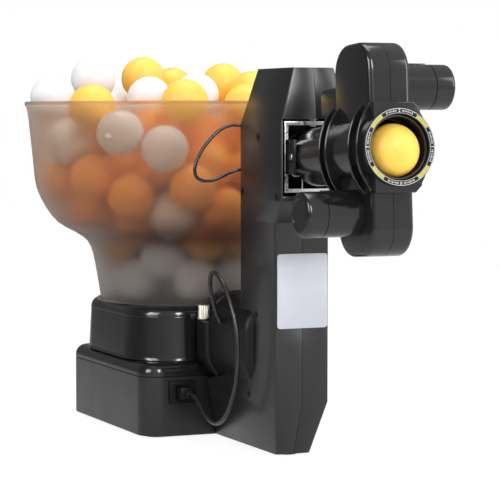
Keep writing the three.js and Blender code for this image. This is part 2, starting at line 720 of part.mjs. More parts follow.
function columnBody(inset) {
  const heelBack = columnHeelReach + COLUMN_HEEL_STEP;
  return loft([
    columnSection(PAD_HEIGHT + inset, COLUMN_HALF_WIDTH - FOOT_SIDE_TAPER, COLUMN_FRONT_REACH - FOOT_FRONT_TAPER, columnHeelReach, inset),
    columnSection(FOOT_FLARE_HEIGHT, COLUMN_HALF_WIDTH, COLUMN_FRONT_REACH, columnHeelReach, inset),
    columnSection(COLUMN_HEEL_HEIGHT - inset, COLUMN_HALF_WIDTH, COLUMN_FRONT_REACH, columnHeelReach, inset),
    columnSection(COLUMN_HEEL_HEIGHT + COLUMN_HEEL_SLOPE - inset, COLUMN_HALF_WIDTH, COLUMN_FRONT_REACH, heelBack, inset),
    columnSection(COLUMN_BACK_FULL_HEIGHT, COLUMN_HALF_WIDTH, COLUMN_FRONT_REACH, COLUMN_BACK_REACH, inset),
    columnSection(CABIN_START_HEIGHT, COLUMN_HALF_WIDTH, COLUMN_FRONT_REACH, COLUMN_BACK_REACH, inset),
    columnSection(CABIN_FULL_HEIGHT, CABIN_HALF_WIDTH, CABIN_FRONT_REACH, CABIN_BACK_REACH, inset),
    columnSection(CABIN_SHOULDER_HEIGHT, CABIN_HALF_WIDTH, CABIN_FRONT_REACH, CABIN_BACK_REACH, inset),
    columnSection(CABIN_TOP_HEIGHT - inset, CABIN_HALF_WIDTH - CABIN_SIDE_TAPER, CABIN_FRONT_REACH - CABIN_END_TAPER,
      CABIN_BACK_REACH + CABIN_END_TAPER, inset),
  ]);
}

// All that lies on one side of the plane X = 0, less half a gap
function halfSpace(side) {
  const far = CABIN_FRONT_REACH + CABIN_TOP_HEIGHT;
  return side < 0
    ? block([-far, -far, -far], [-SEAT_GAP / 2, far, far])
    : block([SEAT_GAP / 2, -far, -far], [far, far, far]);
}

function columnShell(side) {
  const windowHalf = CABIN_HALF_WIDTH - COLUMN_WALL;
  const window = block([-windowHalf, -CABIN_FRONT_REACH - CUT_OVERRUN, WINDOW_BOTTOM],
    [windowHalf, -CABIN_FRONT_REACH + COLUMN_WALL + CUT_OVERRUN, WINDOW_TOP]);
  const plateSeat = frontSlab(plateOutline(SEAT_GAP), COLUMN_FRONT_REACH + PLATE_PROUD - PLATE_THICKNESS - SEAT_GAP,
    COLUMN_FRONT_REACH + CUT_OVERRUN);
  const whole = cutBy(columnBody(0), columnBody(COLUMN_WALL), window, plateSeat, columnFootRoom(),
    tubeRoom(SEAT_GAP));
  return joined(whole, swingShelf()).intersect(halfSpace(side));
}

// Shelf inside the cabin that carries the swing motor, with room for its gear below
function swingShelf() {
  const low = swingMotorBottom() - SWING_MOTOR_SHELF - SEAT_GAP;
  const inside = columnBody(COLUMN_WALL / 2);
  const plate = block([-CABIN_HALF_WIDTH, -pinionReach - SWING_MOTOR_RADIUS, low],
    [CABIN_HALF_WIDTH, -CABIN_BACK_REACH, low + SWING_MOTOR_SHELF]);
  const hole = rod([0, -pinionReach, low - CUT_OVERRUN], [0, -pinionReach, low + CUT_OVERRUN * 2],
    SWING_PIN_RADIUS + RUNNING_GAP, 20);
  return cutBy(plate.intersect(inside), hole);
}

function plateOutline(grow) {
  return roundRectangle(-PLATE_WIDTH / 2 - grow, PLATE_WIDTH / 2 + grow, PLATE_CENTRE_HEIGHT - PLATE_HEIGHT / 2 - grow,
    PLATE_CENTRE_HEIGHT + PLATE_HEIGHT / 2 + grow, PLATE_CORNER, 3);
}

function columnPlate() {
  const front = COLUMN_FRONT_REACH + PLATE_PROUD;
  return frontSlab(plateOutline(0), front - PLATE_THICKNESS, front);
}

function ductOutline(grow) {
  return roundRectangle(-DUCT_HALF_WIDTH - grow, DUCT_HALF_WIDTH + grow, DUCT_BOTTOM - grow, DUCT_TOP + grow,
    DUCT_CORNER + grow, 4);
}

function neckDuct() {
  const start = TURRET_LENGTH / 2 - TURRET_DRAFT - TURRET_EDGE;
  const long = frontSlab(ductOutline(0), start - DUCT_END_ROUNDING, DUCT_END_REACH, DUCT_END_ROUNDING);
  const front = frontSlab(ductOutline(DUCT_COLLAR_PROUD), DUCT_COLLAR_REACH, DUCT_COLLAR_REACH + DUCT_COLLAR_LENGTH,
    DUCT_COLLAR_PROUD);
  const behind = block([-BASE_WIDTH, -start, 0], [BASE_WIDTH, BASE_LENGTH, BASE_LENGTH]);
  const baseRoom = block([-BASE_WIDTH, -columnHeelReach, 0], [BASE_WIDTH, BASE_LENGTH, BASE_HEIGHT + SEAT_GAP]);
  const turretRoom = turretBody(-SEAT_GAP, turretBottom - CUT_OVERRUN, TURRET_TOP + SEAT_GAP, TURRET_EDGE);
  const postRoom = rod([-SCREW_OFFSET, -SCREW_REACH, 0], [-SCREW_OFFSET, -SCREW_REACH, DUCT_TOP + CUT_OVERRUN],
    SCREW_FLANGE_RADIUS + RUNNING_GAP, 12);
  const webRoom = block([-SCREW_OFFSET - SCREW_FLANGE_RADIUS - RUNNING_GAP, -SCREW_REACH, 0],
    [-SCREW_OFFSET + SCREW_FLANGE_RADIUS + RUNNING_GAP, 0, DUCT_TOP + CUT_OVERRUN]);
  const bowlRoom = rod([0, 0, TURRET_TOP], [0, 0, DUCT_TOP + CUT_OVERRUN],
    BOWL_FOOT_RADIUS + BOWL_FLANGE + RUNNING_GAP, 40);
  return cutBy(joined(long, front), behind, baseRoom, turretRoom, columnBody(-SEAT_GAP), postRoom, webRoom,
    bowlRoom, tubeRoom(SEAT_GAP));
}

// The part of the ball tube that lies between two reaches ahead of the turret's middle and two heights
function tubeLength(nearReach, farReach, low, high) {
  const whole = polyTube(tubeRoute, tubeOuter, tubeInner);
  return whole.intersect(block([-BASE_WIDTH, -farReach, low], [BASE_WIDTH, -nearReach, high]));
}

function feedTubeRun() {
  const opening = rod([0, -DROP_HOLE_REACH, TUBE_LOW_AXIS_HEIGHT], [0, -DROP_HOLE_REACH, TURRET_TOP],
    tubeInner, 24);
  return cutBy(tubeLength(0, lowerBendReach - SEAT_GAP, 0, lowerBendHeight), opening);
}

function feedTubeLowerBend() {
  return tubeLength(lowerBendReach, tubeFarEnd, 0, lowerBendHeight - SEAT_GAP);
}

function feedTubeRiser() {
  return tubeLength(lowerBendReach - tubeOuter, tubeFarEnd, lowerBendHeight, upperBendHeight - SEAT_GAP);
}

function feedTubeUpperBend() {
  return tubeLength(0, tubeFarEnd, upperBendHeight, tubeHighEnd);
}

function clampScrew() {
  const low = SCREW_POST_TOP + SEAT_GAP;
  const shank = rod([0, 0, low - SCREW_SHANK_LENGTH + RUNNING_GAP + SEAT_GAP], [0, 0, low + SCREW_FLANGE_HEIGHT / 2],
    SCREW_SHANK_RADIUS, 16);
  const flange = rod([0, 0, low], [0, 0, low + SCREW_FLANGE_HEIGHT], SCREW_FLANGE_RADIUS, 28);
  const outline = [];
  for (let i = 0; i < SCREW_RIDGES * 2; i++) {
    const radius = i % 2 === 0 ? SCREW_HEAD_RADIUS : SCREW_HEAD_RADIUS - SCREW_RIDGE_DEPTH;
    const angle = (i / (SCREW_RIDGES * 2)) * 2 * Math.PI;
    outline.push([radius * Math.cos(angle), radius * Math.sin(angle)]);
  }
  const head = slab(outline, low + SCREW_FLANGE_HEIGHT / 2, low + SCREW_FLANGE_HEIGHT + SCREW_HEAD_HEIGHT);
  return joined(shank, flange, head);
}

// One gear tooth: [share of the tooth's step, share of the way from the root circle to the tip]
const toothShapeShares = [[-0.5, 0], [-0.3, 0], [-0.11, 1], [0.11, 1], [0.3, 0]];
const plainShapeShares = [[-0.5, 0], [0, 0]];

// Gear outline with trapezoid teeth; the spread leaves the rest of the wheel at the root circle
function gearOutline(teeth, spreadDegrees, middleDegrees, play) {
  const pitchRadius = (teeth * GEAR_MODULE) / 2;
  const tip = pitchRadius + GEAR_MODULE * TOOTH_TIP_SHARE - play / 2;
  const root = pitchRadius - GEAR_MODULE * TOOTH_ROOT_SHARE;
  return Array.from({ length: teeth }, (unused, i) => {
    const centre = (i / teeth) * 360;
    const away = Math.abs(((centre - middleDegrees + 540) % 360) - 180);
    const shape = away <= spreadDegrees / 2 ? toothShapeShares : plainShapeShares;
    return shape.map(([share, rise]) => {
      const angle = THREE.MathUtils.degToRad(centre + (share * 360) / teeth);
      const radius = root + rise * (tip - root);
      return [radius * Math.cos(angle), radius * Math.sin(angle)];
    });
  }).flat();
}

const gearCentres = ((SECTOR_TEETH + PINION_TEETH) * GEAR_MODULE) / 2 + GEAR_TOOTH_PLAY;
const pinionReach = SWING_REACH - gearCentres;

function swingGearBottom() {
  return SWING_TOP + SWING_SHEET / 2 + SEAT_GAP;
}

function swingMotorBottom() {
  return swingGearBottom() + GEAR_THICKNESS + RUNNING_GAP + SWING_MOTOR_SHELF + SEAT_GAP * 2;
}

function swingFrame() {
  const half = SWING_HALF_WIDTH;
  const webFront = SWING_REACH + SWING_WEB_AHEAD + SWING_SHEET;
  const web = block([-half, -webFront, SWING_BOTTOM], [half, -webFront + SWING_SHEET, SWING_TOP]);
  const opening = block([-half + SWING_STRIP, -webFront - CUT_OVERRUN, SWING_BOTTOM + SWING_STRIP],
    [half - SWING_STRIP, -webFront + CUT_OVERRUN * 2, SWING_TOP - SWING_STRIP]);
  const flange = (low) => block([-half / 2, -webFront, low], [half / 2, -SWING_REACH + SWING_FLANGE_BACK, low + SWING_SHEET]);
  const earInner = SLEEVE_RADIUS + RUNNING_GAP;
  const ears = [-1, 1].map((side) => {
    const near = side * earInner;
    const far = side * (earInner + SWING_SHEET);
    const plate = block([Math.min(near, far), -TILT_REACH - EAR_AHEAD, BARREL_HEIGHT - EAR_HALF_HEIGHT],
      [Math.max(near, far), -webFront + SWING_SHEET / 2, BARREL_HEIGHT + EAR_HALF_HEIGHT]);
    const hole = rod([side * half * 2, -TILT_REACH, BARREL_HEIGHT], [0, -TILT_REACH, BARREL_HEIGHT],
      TILT_PIN_RADIUS + RUNNING_GAP / 2, 20);
    return cutBy(plate, hole);
  });
  const pinHoles = rod([0, -SWING_REACH, SWING_BOTTOM - CUT_OVERRUN], [0, -SWING_REACH, SWING_TOP + CUT_OVERRUN],
    SWING_PIN_RADIUS + SEAT_GAP, 20);
  return joined(
    cutBy(joined(cutBy(web, opening), flange(SWING_BOTTOM), flange(SWING_TOP - SWING_SHEET)), pinHoles), ...ears);
}

// Upper pivot: the gear sector and its pin, riveted to the frame's top flange
function swingSector() {
  const low = swingGearBottom();
  const gear = slab(gearOutline(SECTOR_TEETH, SECTOR_SPREAD, 90, GEAR_TOOTH_PLAY), low, low + GEAR_THICKNESS);
  const far = SECTOR_TEETH * GEAR_MODULE;
  const half = THREE.MathUtils.degToRad(SECTOR_SPREAD / 2 + 180 / SECTOR_TEETH);
  const keep = slab([[0, 0], [far * Math.sin(half), far * Math.cos(half)], [-far * Math.sin(half), far * Math.cos(half)]],
    low - CUT_OVERRUN, low + GEAR_THICKNESS + CUT_OVERRUN);
  const hub = rod([0, 0, low], [0, 0, low + GEAR_THICKNESS], SECTOR_HUB_RADIUS, 24);
  const pin = rod([0, 0, SWING_TOP - SWING_SHEET - SWING_PIN_PROUD / 2], [0, 0, low + GEAR_THICKNESS / 2],
    SWING_PIN_RADIUS, 20);
  return joined(gear.intersect(keep), hub, pin);
}

function swingPinion() {
  const low = swingGearBottom();
  const meshTurn = -90 + 180 / PINION_TEETH;
  const gear = slab(gearOutline(PINION_TEETH, 360, 0, GEAR_TOOTH_PLAY), low, low + GEAR_THICKNESS)
    .rotate([0, 0, meshTurn]);
  const shaft = rod([0, 0, low + GEAR_THICKNESS / 2], [0, 0, swingMotorBottom() + SHAFT_DEPTH - RUNNING_GAP],
    SWING_PIN_RADIUS, 20);
  return joined(gear, shaft);
}

function swingMotor() {
  const low = swingMotorBottom();
  const body = rod([0, -pinionReach, low], [0, -pinionReach, low + SWING_MOTOR_LENGTH], SWING_MOTOR_RADIUS, 28);
  const bore = rod([0, -pinionReach, low - CUT_OVERRUN], [0, -pinionReach, low + SHAFT_DEPTH],
    SWING_PIN_RADIUS + RUNNING_GAP, 20);
  return cutBy(body, bore);
}

// In the head's own frame the origin is on the tilt axis, and a point lies so far ahead along the barrel
const aheadPoint = (x, ahead, up) => [x, -ahead, up];
const barrelRod = (start, end, radius, sides = 24) =>
  rod(aheadPoint(0, start, 0), aheadPoint(0, end, 0), radius, sides);

function tiltSleeve() {
  const outer = barrelRod(-SLEEVE_TAIL, sleeveEnd, SLEEVE_RADIUS);
  const collarEnd = BARREL_START - RUNNING_GAP;
  const collar = barrelRod(collarEnd - SLEEVE_COLLAR_LENGTH, collarEnd, SLEEVE_COLLAR_RADIUS);
  const pinEnd = SLEEVE_RADIUS + RUNNING_GAP + SWING_SHEET + TILT_PIN_PROUD;
  const pins = rod([-pinEnd, 0, 0], [pinEnd, 0, 0], TILT_PIN_RADIUS, 20);
  const bore = barrelRod(-SLEEVE_TAIL - CUT_OVERRUN, sleeveEnd + CUT_OVERRUN, tubeInner);
  return cutBy(joined(outer, collar, pins), bore);
}

function ribPlate(start) {
  return frontSlab(ellipse(RIB_HALF_WIDTH, RIB_HALF_HEIGHT, 24), start, start + RIB_THICKNESS);
}

function headBody() {
  const profile = roundRectangle(housingStart, housingEnd, -HOUSING_HALF_HEIGHT, HOUSING_HALF_HEIGHT, HOUSING_CORNER, 4);
  const housing = sideSlab(profile, HOUSING_HALF_WIDTH, HOUSING_EDGE);
  const barrel = barrelRod(BARREL_START, housingEnd, BARREL_RADIUS);
  const ribStarts = [BARREL_START, BARREL_START + REAR_RIB_PITCH, housingEnd - FRONT_RIB_BEHIND - RIB_THICKNESS];
  const lug = sideSlab(
    roundRectangle(housingStart - LUG_BEHIND, housingStart + HOUSING_CORNER, LUG_BOTTOM, LUG_TOP, LUG_CORNER, 4),
    HOUSING_HALF_WIDTH, HOUSING_EDGE / 2);
  return joined(housing, barrel, lug, ...ribStarts.map(ribPlate));
}

function headCuts() {
  const chambers = [-1, 1].map((side) => rod(
    aheadPoint(-(HOUSING_HALF_WIDTH - HOUSING_WALL), WHEEL_AHEAD, side * WHEEL_OFFSET),
    aheadPoint(HOUSING_HALF_WIDTH - HOUSING_WALL, WHEEL_AHEAD, side * WHEEL_OFFSET),
    WHEEL_RADIUS + RUNNING_GAP * 2, 24));
  const sleeveRoom = barrelRod(BARREL_START - CUT_OVERRUN, sleeveEnd + RUNNING_GAP, SLEEVE_RADIUS + RUNNING_GAP);
  const bore = barrelRod(BARREL_START, housingEnd + CUT_OVERRUN, tubeInner);
  const muzzleRoom = barrelRod(muzzleStart - SEAT_GAP, housingEnd + CUT_OVERRUN, MUZZLE_OUTER_RADIUS + SEAT_GAP);
  const shaftRooms = [-1, 1].map((side) => rod(
    aheadPoint(0, WHEEL_AHEAD, side * WHEEL_OFFSET),
    aheadPoint(side * HOUSING_HALF_WIDTH * 2, WHEEL_AHEAD, side * WHEEL_OFFSET),
    MOTOR_SHAFT_RADIUS + RUNNING_GAP, 20));
  return [...chambers, ...shaftRooms, sleeveRoom, bore, muzzleRoom];
}

function headShell(side) {
  return cutBy(headBody(), ...headCuts()).intersect(halfSpace(side));
}

function mouthFrame() {
  const c = MOUTH_CHAMFER;
  const w = MOUTH_HALF_WIDTH;
  const h = MOUTH_HALF_HEIGHT;
  const outline = [[w, -h + c], [w, h - c], [w - c, h], [-w, h], [-w, -h], [w - c, -h]];
  const frame = frontSlab(outline, mouthStart, mouthEnd);
  const barrel = barrelRod(mouthStart, mouthEnd, MOUTH_RADIUS);
  const flange = frontSlab(ellipse(RIB_HALF_WIDTH, RIB_HALF_HEIGHT, 24), mouthStart, mouthStart + MOUTH_FLANGE)
    .intersect(block(aheadPoint(-RIB_HALF_WIDTH, mouthEnd, -h), aheadPoint(RIB_HALF_WIDTH, mouthStart, h)));
  const bore = barrelRod(mouthStart - CUT_OVERRUN, mouthEnd + CUT_OVERRUN, MUZZLE_OUTER_RADIUS + SEAT_GAP);
  return cutBy(joined(frame, barrel, flange), bore);
}

function muzzleTube() {
  return cutBy(barrelRod(muzzleStart, mouthEnd, MUZZLE_OUTER_RADIUS),
    barrelRod(muzzleStart - CUT_OVERRUN, mouthEnd + CUT_OVERRUN, MUZZLE_OUTER_RADIUS - MUZZLE_WALL));
}

function dialRing() {
  return cutBy(barrelRod(dialStart, dialEnd, DIAL_OUTER_RADIUS, 30),
    barrelRod(dialStart - CUT_OVERRUN, dialEnd + CUT_OVERRUN, DIAL_INNER_RADIUS, 30));
}

// A piece of revolution round a wheel's axis: [radius, distance out from the middle of the head]
function acrossTurned(profile, side, sides) {
  const body = geometryOf(turned(profile, sides));
  body.rotateY(side * Math.PI / 2);
  body.translate(0, -WHEEL_AHEAD, side * WHEEL_OFFSET);
  return solid(body);
}

function motorCase(side) {
  const start = HOUSING_HALF_WIDTH + SEAT_GAP;
  const end = start + CASE_LENGTH;
  const seam = end - CASE_CAP_LENGTH;
  return acrossTurned([
    [CASE_RADIUS - CASE_WALL, start],
    [CASE_RADIUS, start],
    [CASE_RADIUS, seam - CASE_GROOVE],
    [CASE_RADIUS - CASE_GROOVE, seam - CASE_GROOVE],
    [CASE_RADIUS - CASE_GROOVE, seam],
    [CASE_RADIUS, seam],
    [CASE_RADIUS, end - CASE_EDGE],
    [CASE_RADIUS - CASE_EDGE * CASE_ROUND_SHARE, end - CASE_EDGE * CASE_ROUND_SHARE],
    [CASE_RADIUS - CASE_EDGE, end],
    [0, end],
    [0, end - CASE_WALL],
    [CASE_RADIUS - CASE_WALL, end - CASE_WALL],
    [CASE_RADIUS - CASE_WALL, start],
  ], side, 20);
}

function motorCan(side) {
  const start = HOUSING_HALF_WIDTH + SEAT_GAP;
  const end = start + MOTOR_LENGTH;
  const bore = MOTOR_SHAFT_RADIUS + RUNNING_GAP;
  return acrossTurned([
    [bore, start],
    [MOTOR_RADIUS, start],
    [MOTOR_RADIUS, end],
    [0, end],
    [0, start + SHAFT_DEPTH],
    [bore, start + SHAFT_DEPTH],
    [bore, start],
  ], side, 16);
}

function wheelHub(side) {
  const half = WHEEL_WIDTH / 2;
  const shaftEnd = HOUSING_HALF_WIDTH + SHAFT_DEPTH - RUNNING_GAP;
  const recess = half * HUB_WEB_SHARE;
  const web = hubRadius * HUB_RIM_SHARE;
  const boss = hubRadius * HUB_BOSS_SHARE;
  return acrossTurned([
    [0, -half],
    [boss, -half],
    [boss, -recess],
    [web, -recess],
    [web, -half],
    [hubRadius, -half],
    [hubRadius, half],
    [web, half],
    [web, recess],
    [boss, recess],
    [boss, half],
    [MOTOR_SHAFT_RADIUS, half],
    [MOTOR_SHAFT_RADIUS, shaftEnd],
    [0, shaftEnd],
  ], side, 16);
}

function wheelTyre(side) {
  const half = WHEEL_WIDTH / 2;
  const inner = hubRadius + SEAT_GAP;
  const crown = TYRE_CROWN;
  return acrossTurned([
    [inner, -half],
    [WHEEL_RADIUS - crown, -half],
    [WHEEL_RADIUS, -half + crown],
    [WHEEL_RADIUS, half - crown],
    [WHEEL_RADIUS - crown, half],
    [inner, half],
    [inner, -half],
  ], side, 24);
}

// The control lead: out of the plug, down, forward past the column and up into the duct's side
const leadRoute = [
  [-46, -117.7, 39], [-46, -124, 38.6], [-46, -131, 36.6], [-46, -138, 33], [-46, -147, 27.5], [-45.5, -158, 23],
  [-45, -170, 21.5], [-44.5, -182, 25], [-44, -193, 33], [-43.5, -202, 45], [-43, -209, 60],
  [-43, -212.5, 77], [-43, -212, 94], [-43.5, -208, 110], [-44, -200, 124], [-44.5, -189, 136],
  [-45, -176, 144], [-44.5, -165, 146], [-44, -157, 142], [-42, -152, 133], [-39, -150, 122],
  [-35.5, -149, 111], [-31.6, -148.5, 103],
];

// A loop of the same sort of lead behind the cabin
const loopRoute = [
  [-24, -187.6, 266], [-24.3, -184.6, 266.2], [-28.5, -181.6, 267.3], [-35, -180.6, 267.4],
  [-43, -180.2, 264.5], [-51, -180, 258.5], [-59, -180, 249.5], [-64.5, -180, 240.5], [-67, -180, 232.5], [-66, -180, 226], [-61, -180.5, 222.6],
  [-53, -181, 222.4], [-45, -181.5, 225], [-37, -180.9, 228.4], [-29, -181.8, 231], [-24.4, -184.6, 232],
  [-24, -187.6, 232.2],
];

function controlLead() {
  return bent(leadRoute, LEAD_RADIUS, CORD_SIDES, LEAD_STEPS);
}

function cabinLoop() {
  return bent(loopRoute, LOOP_RADIUS, CORD_SIDES, LOOP_STEPS);
}

const robot = new THREE.Group();

function place(parent, name, body, material, position = [0, 0, 0]) {
  const mesh = new THREE.Mesh(geometryOf(body), material);
  mesh.name = name;
  mesh.position.set(...position);
  parent.add(mesh);
}

function addBase() {
  place(robot, "base_tray", baseTray(), blackAbs);
  place(robot, "base_deck", baseDeck(), blackAbs);
  place(robot, "base_mat", baseMat(), rubber);
  place(robot, "turret", turret(), blackAbs);
  place(robot, "control_board", controlBoard(), boardGreen);
  place(robot, "feed_gearmotor", feedGearmotor(), steel);
  place(robot, "lead_socket", leadSocket(), innerBlack);
  place(robot, "lead_plug", leadPlug(), innerBlack);
  place(robot, "clamp_screw", clampScrew(), nickel, [-SCREW_OFFSET, -SCREW_REACH, 0]);
}

function addFeed() {
  place(robot, "hopper_bowl", hopperBowl(), smoke);
  place(robot, "feed_pan", feedPan(), blackAbs);
  place(robot, "feed_rotor", feedRotor(), nylon);
  place(robot, "feed_hub", feedHub(), nylon);
  place(robot, "feed_tube_run", feedTubeRun(), innerBlack);
  place(robot, "feed_tube_lower_bend", feedTubeLowerBend(), innerBlack);
  place(robot, "feed_tube_riser", feedTubeRiser(), innerBlack);
  place(robot, "feed_tube_upper_bend", feedTubeUpperBend(), innerBlack);
  place(robot, "neck_duct", neckDuct(), blackAbs);
}

function addColumn() {
  place(robot, "column_shell_left", columnShell(-1), blackAbs);
  place(robot, "column_shell_right", columnShell(1), blackAbs);
  place(robot, "column_plate", columnPlate(), paleGrey);
  place(robot, "column_foot", columnFoot(), rubber);
}

function addSwing() {
  place(robot, "swing_frame", swingFrame(), zincSheet);
  place(robot, "swing_sector", swingSector(), nylon, [0, -SWING_REACH, 0]);
  place(robot, "swing_pinion", swingPinion(), nylon, [0, -pinionReach, 0]);
  place(robot, "swing_motor", swingMotor(), steel);
}

function addHead() {
  const head = new THREE.Group();
  head.position.set(0, -TILT_REACH, BARREL_HEIGHT);
  head.rotation.x = -THREE.MathUtils.degToRad(REST_PITCH_DEGREES);
  robot.add(head);
  place(head, "tilt_sleeve", tiltSleeve(), blackAbs);
  place(head, "head_shell_left", headShell(-1), blackAbs);
  place(head, "head_shell_right", headShell(1), blackAbs);
  place(head, "mouth_frame", mouthFrame(), blackAbs);
  place(head, "muzzle_tube", muzzleTube(), innerBlack);
  place(head, "dial_ring", dialRing(), dialBlack);
  for (const [side, label] of [[1, "upper"], [-1, "lower"]]) {
    place(head, `${label}_motor_case`, motorCase(side), blackAbs);
    place(head, `${label}_motor`, motorCan(side), steel);
    place(head, `${label}_wheel_hub`, wheelHub(side), nylon);
    place(head, `${label}_wheel_tyre`, wheelTyre(side), tyreRubber);
  }
}

function addCords() {
  place(robot, "control_lead", controlLead(), cordJacket);
  place(robot, "cabin_loop", cabinLoop(), cordJacket);
}

addBase();
addFeed();
addColumn();
addSwing();
addHead();
addCords();

export default robot;
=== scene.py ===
import json
import math
import random

import bmesh
import bpy
import numpy
from mathutils import Matrix, Vector


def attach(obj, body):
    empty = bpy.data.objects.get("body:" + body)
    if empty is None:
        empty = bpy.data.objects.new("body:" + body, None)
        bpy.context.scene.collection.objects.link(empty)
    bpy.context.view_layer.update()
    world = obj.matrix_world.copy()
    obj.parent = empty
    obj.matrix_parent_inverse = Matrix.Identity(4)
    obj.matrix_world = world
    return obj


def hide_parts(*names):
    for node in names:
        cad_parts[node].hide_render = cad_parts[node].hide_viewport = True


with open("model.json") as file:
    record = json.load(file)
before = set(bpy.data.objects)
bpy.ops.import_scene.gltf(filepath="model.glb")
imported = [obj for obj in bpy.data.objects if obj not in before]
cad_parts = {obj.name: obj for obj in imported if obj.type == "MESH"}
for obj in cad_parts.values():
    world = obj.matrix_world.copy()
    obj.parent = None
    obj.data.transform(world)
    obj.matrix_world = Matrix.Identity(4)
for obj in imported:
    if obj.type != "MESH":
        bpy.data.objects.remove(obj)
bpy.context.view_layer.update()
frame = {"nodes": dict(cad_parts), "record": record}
nodes = frame["nodes"]

# Places and sizes are in millimetres, unless a comment says otherwise
MM = 0.001
BASE_CENTRE = (0, 0, 0)
UPRIGHT = (0, 0, 1)
FORWARD = (0, -1, 0)
SEGMENTS, FINE_SEGMENTS, HOLE_SEGMENTS = 96, 128, 64

# The head is tilted up by the pitch about an axis in the cabin's window
PITCH = math.radians(4)
TILT_AXIS = Vector((0, -277, 242.9))
AHEAD = Vector((0, -math.cos(PITCH), math.sin(PITCH)))
UP = Vector((0, math.sin(PITCH), math.cos(PITCH)))


class Nodes:
    """Short way to write the node tree of a material or of the world."""

    def __init__(self, owner):
        owner.use_nodes = True
        self.owner = owner
        self.tree = owner.node_tree
        self.shader = self.tree.nodes.get("Principled BSDF")

    def add(self, kind, **settings):
        node = self.tree.nodes.new(kind)
        for key, value in settings.items():
            setattr(node, key, value)
        return node

    def feed(self, socket, value):
        """Links a socket to another node's output, or gives it a plain value."""
        if isinstance(value, bpy.types.NodeSocket):
            self.tree.links.new(value, socket)
        else:
            socket.default_value = value

    def put(self, node, **inputs):
        for key, value in inputs.items():
            self.feed(node.inputs[key.replace("_", " ")], value)
        return node

    def coordinate(self, kind):
        return self.add("ShaderNodeTexCoord").outputs[kind]

    def height(self, kind):
        """The Z of a coordinate."""
        split = self.put(self.add("ShaderNodeSeparateXYZ"), Vector=self.coordinate(kind))
        return split.outputs["Z"]

    def along(self, kind, direction):
        """How far a coordinate reaches along a direction."""
        node = self.add("ShaderNodeVectorMath", operation="DOT_PRODUCT")
        self.feed(node.inputs[0], self.coordinate(kind))
        self.feed(node.inputs[1], direction)
        return node.outputs["Value"]

    def maths(self, operation, *values):
        node = self.add("ShaderNodeMath", operation=operation)
        for socket, value in zip(node.inputs, values):
            self.feed(socket, value)
        return node.outputs[0]

    def mix(self, share, first, second, **settings):
        node = self.put(self.add("ShaderNodeMix", **settings), Factor=share, A=first, B=second)
        return node.outputs["Result"]

    def noise(self, scale, detail=3, stretch=None):
        """Noise in waves to the metre, finer with more detail, and drawn out where a stretch is given."""
        place = self.coordinate("Object")
        if stretch:
            mapping = self.put(self.add("ShaderNodeMapping"), Vector=place, Scale=stretch)
            place = mapping.outputs["Vector"]
        node = self.put(self.add("ShaderNodeTexNoise"), Vector=place, Scale=scale, Detail=detail)
        return node.outputs["Fac"]

    def ramp(self, source, low, high, start=0.35, end=0.65, **settings):
        """A number that goes from low to high while its source goes from start to end."""
        node = self.add("ShaderNodeMapRange", **settings)
        self.put(node, Value=source, From_Min=start, From_Max=end, To_Min=low, To_Max=high)
        return node.outputs["Result"]

    def colours(self, source, table):
        """A colour ramp through the rows of a table: place and colour."""
        node = self.put(self.add("ShaderNodeValToRGB"), Fac=source)
        stops = node.color_ramp.elements
        stops[0].position, stops[-1].position = table[0][0], table[-1][0]
        for place, colour in table[1:-1]:
            stops.new(place)
        for stop, (place, colour) in zip(stops, table):
            stop.color = (*colour, 1)
        return node.outputs["Color"]

    def bump(self, source, strength, distance):
        node = self.put(self.add("ShaderNodeBump"), Height=source, Strength=strength, Distance=distance)
        self.put(self.shader, Normal=node.outputs["Normal"])


# Depths of the bumps of moulded grain and of a skin or a worn surface, in metres
GRAIN_DEPTH, SKIN_DEPTH = 0.00006, 0.0001


def new_material(name):
    return Nodes(bpy.data.materials.new(name))


def moulded(name, colour, rough, grain=0.2, level=0.25):
    """Moulded plastic or rubber: fine grain, and slow waves in its colour and gloss."""
    m = new_material(name)
    light = tuple(min(1, c * 1.12 + 0.0005) for c in colour)
    m.put(m.shader, Base_Color=m.colours(m.noise(14), [(0.35, colour), (0.65, light)]),
          Roughness=m.ramp(m.noise(35, 4), rough * 0.92, rough * 1.08), Specular_IOR_Level=level)
    m.bump(m.noise(1500, 2), grain, GRAIN_DEPTH)
    return m.owner


def metal(name, colour, rough, brushed=None):
    """Plated or bare metal: speckled, and brushed along a stretch where one is given."""
    m = new_material(name)
    dark = tuple(c * 0.8 for c in colour)
    m.put(m.shader, Base_Color=m.colours(m.noise(90, 4), [(0.35, dark), (0.65, colour)]), Metallic=1.0,
          Roughness=m.ramp(m.noise(400, 4, brushed), rough * 0.7, rough * 1.4))
    m.bump(m.noise(700, 3, brushed), 0.2, SKIN_DEPTH)
    return m.owner


# Smoke colour of the bowl at heights above the floor, in metres, with a painted shadow in a dark band under
# the shoulder and painted light that makes the upper part lighter
SMOKE_AND_PAINTED_SHADE = [
    (0.112, (0.50, 0.47, 0.45)), (0.158, (0.46, 0.43, 0.41)), (0.170, (0.36, 0.29, 0.26)),
    (0.192, (0.60, 0.49, 0.42)), (0.225, (0.66, 0.55, 0.47)), (0.288, (0.66, 0.55, 0.47)),
]


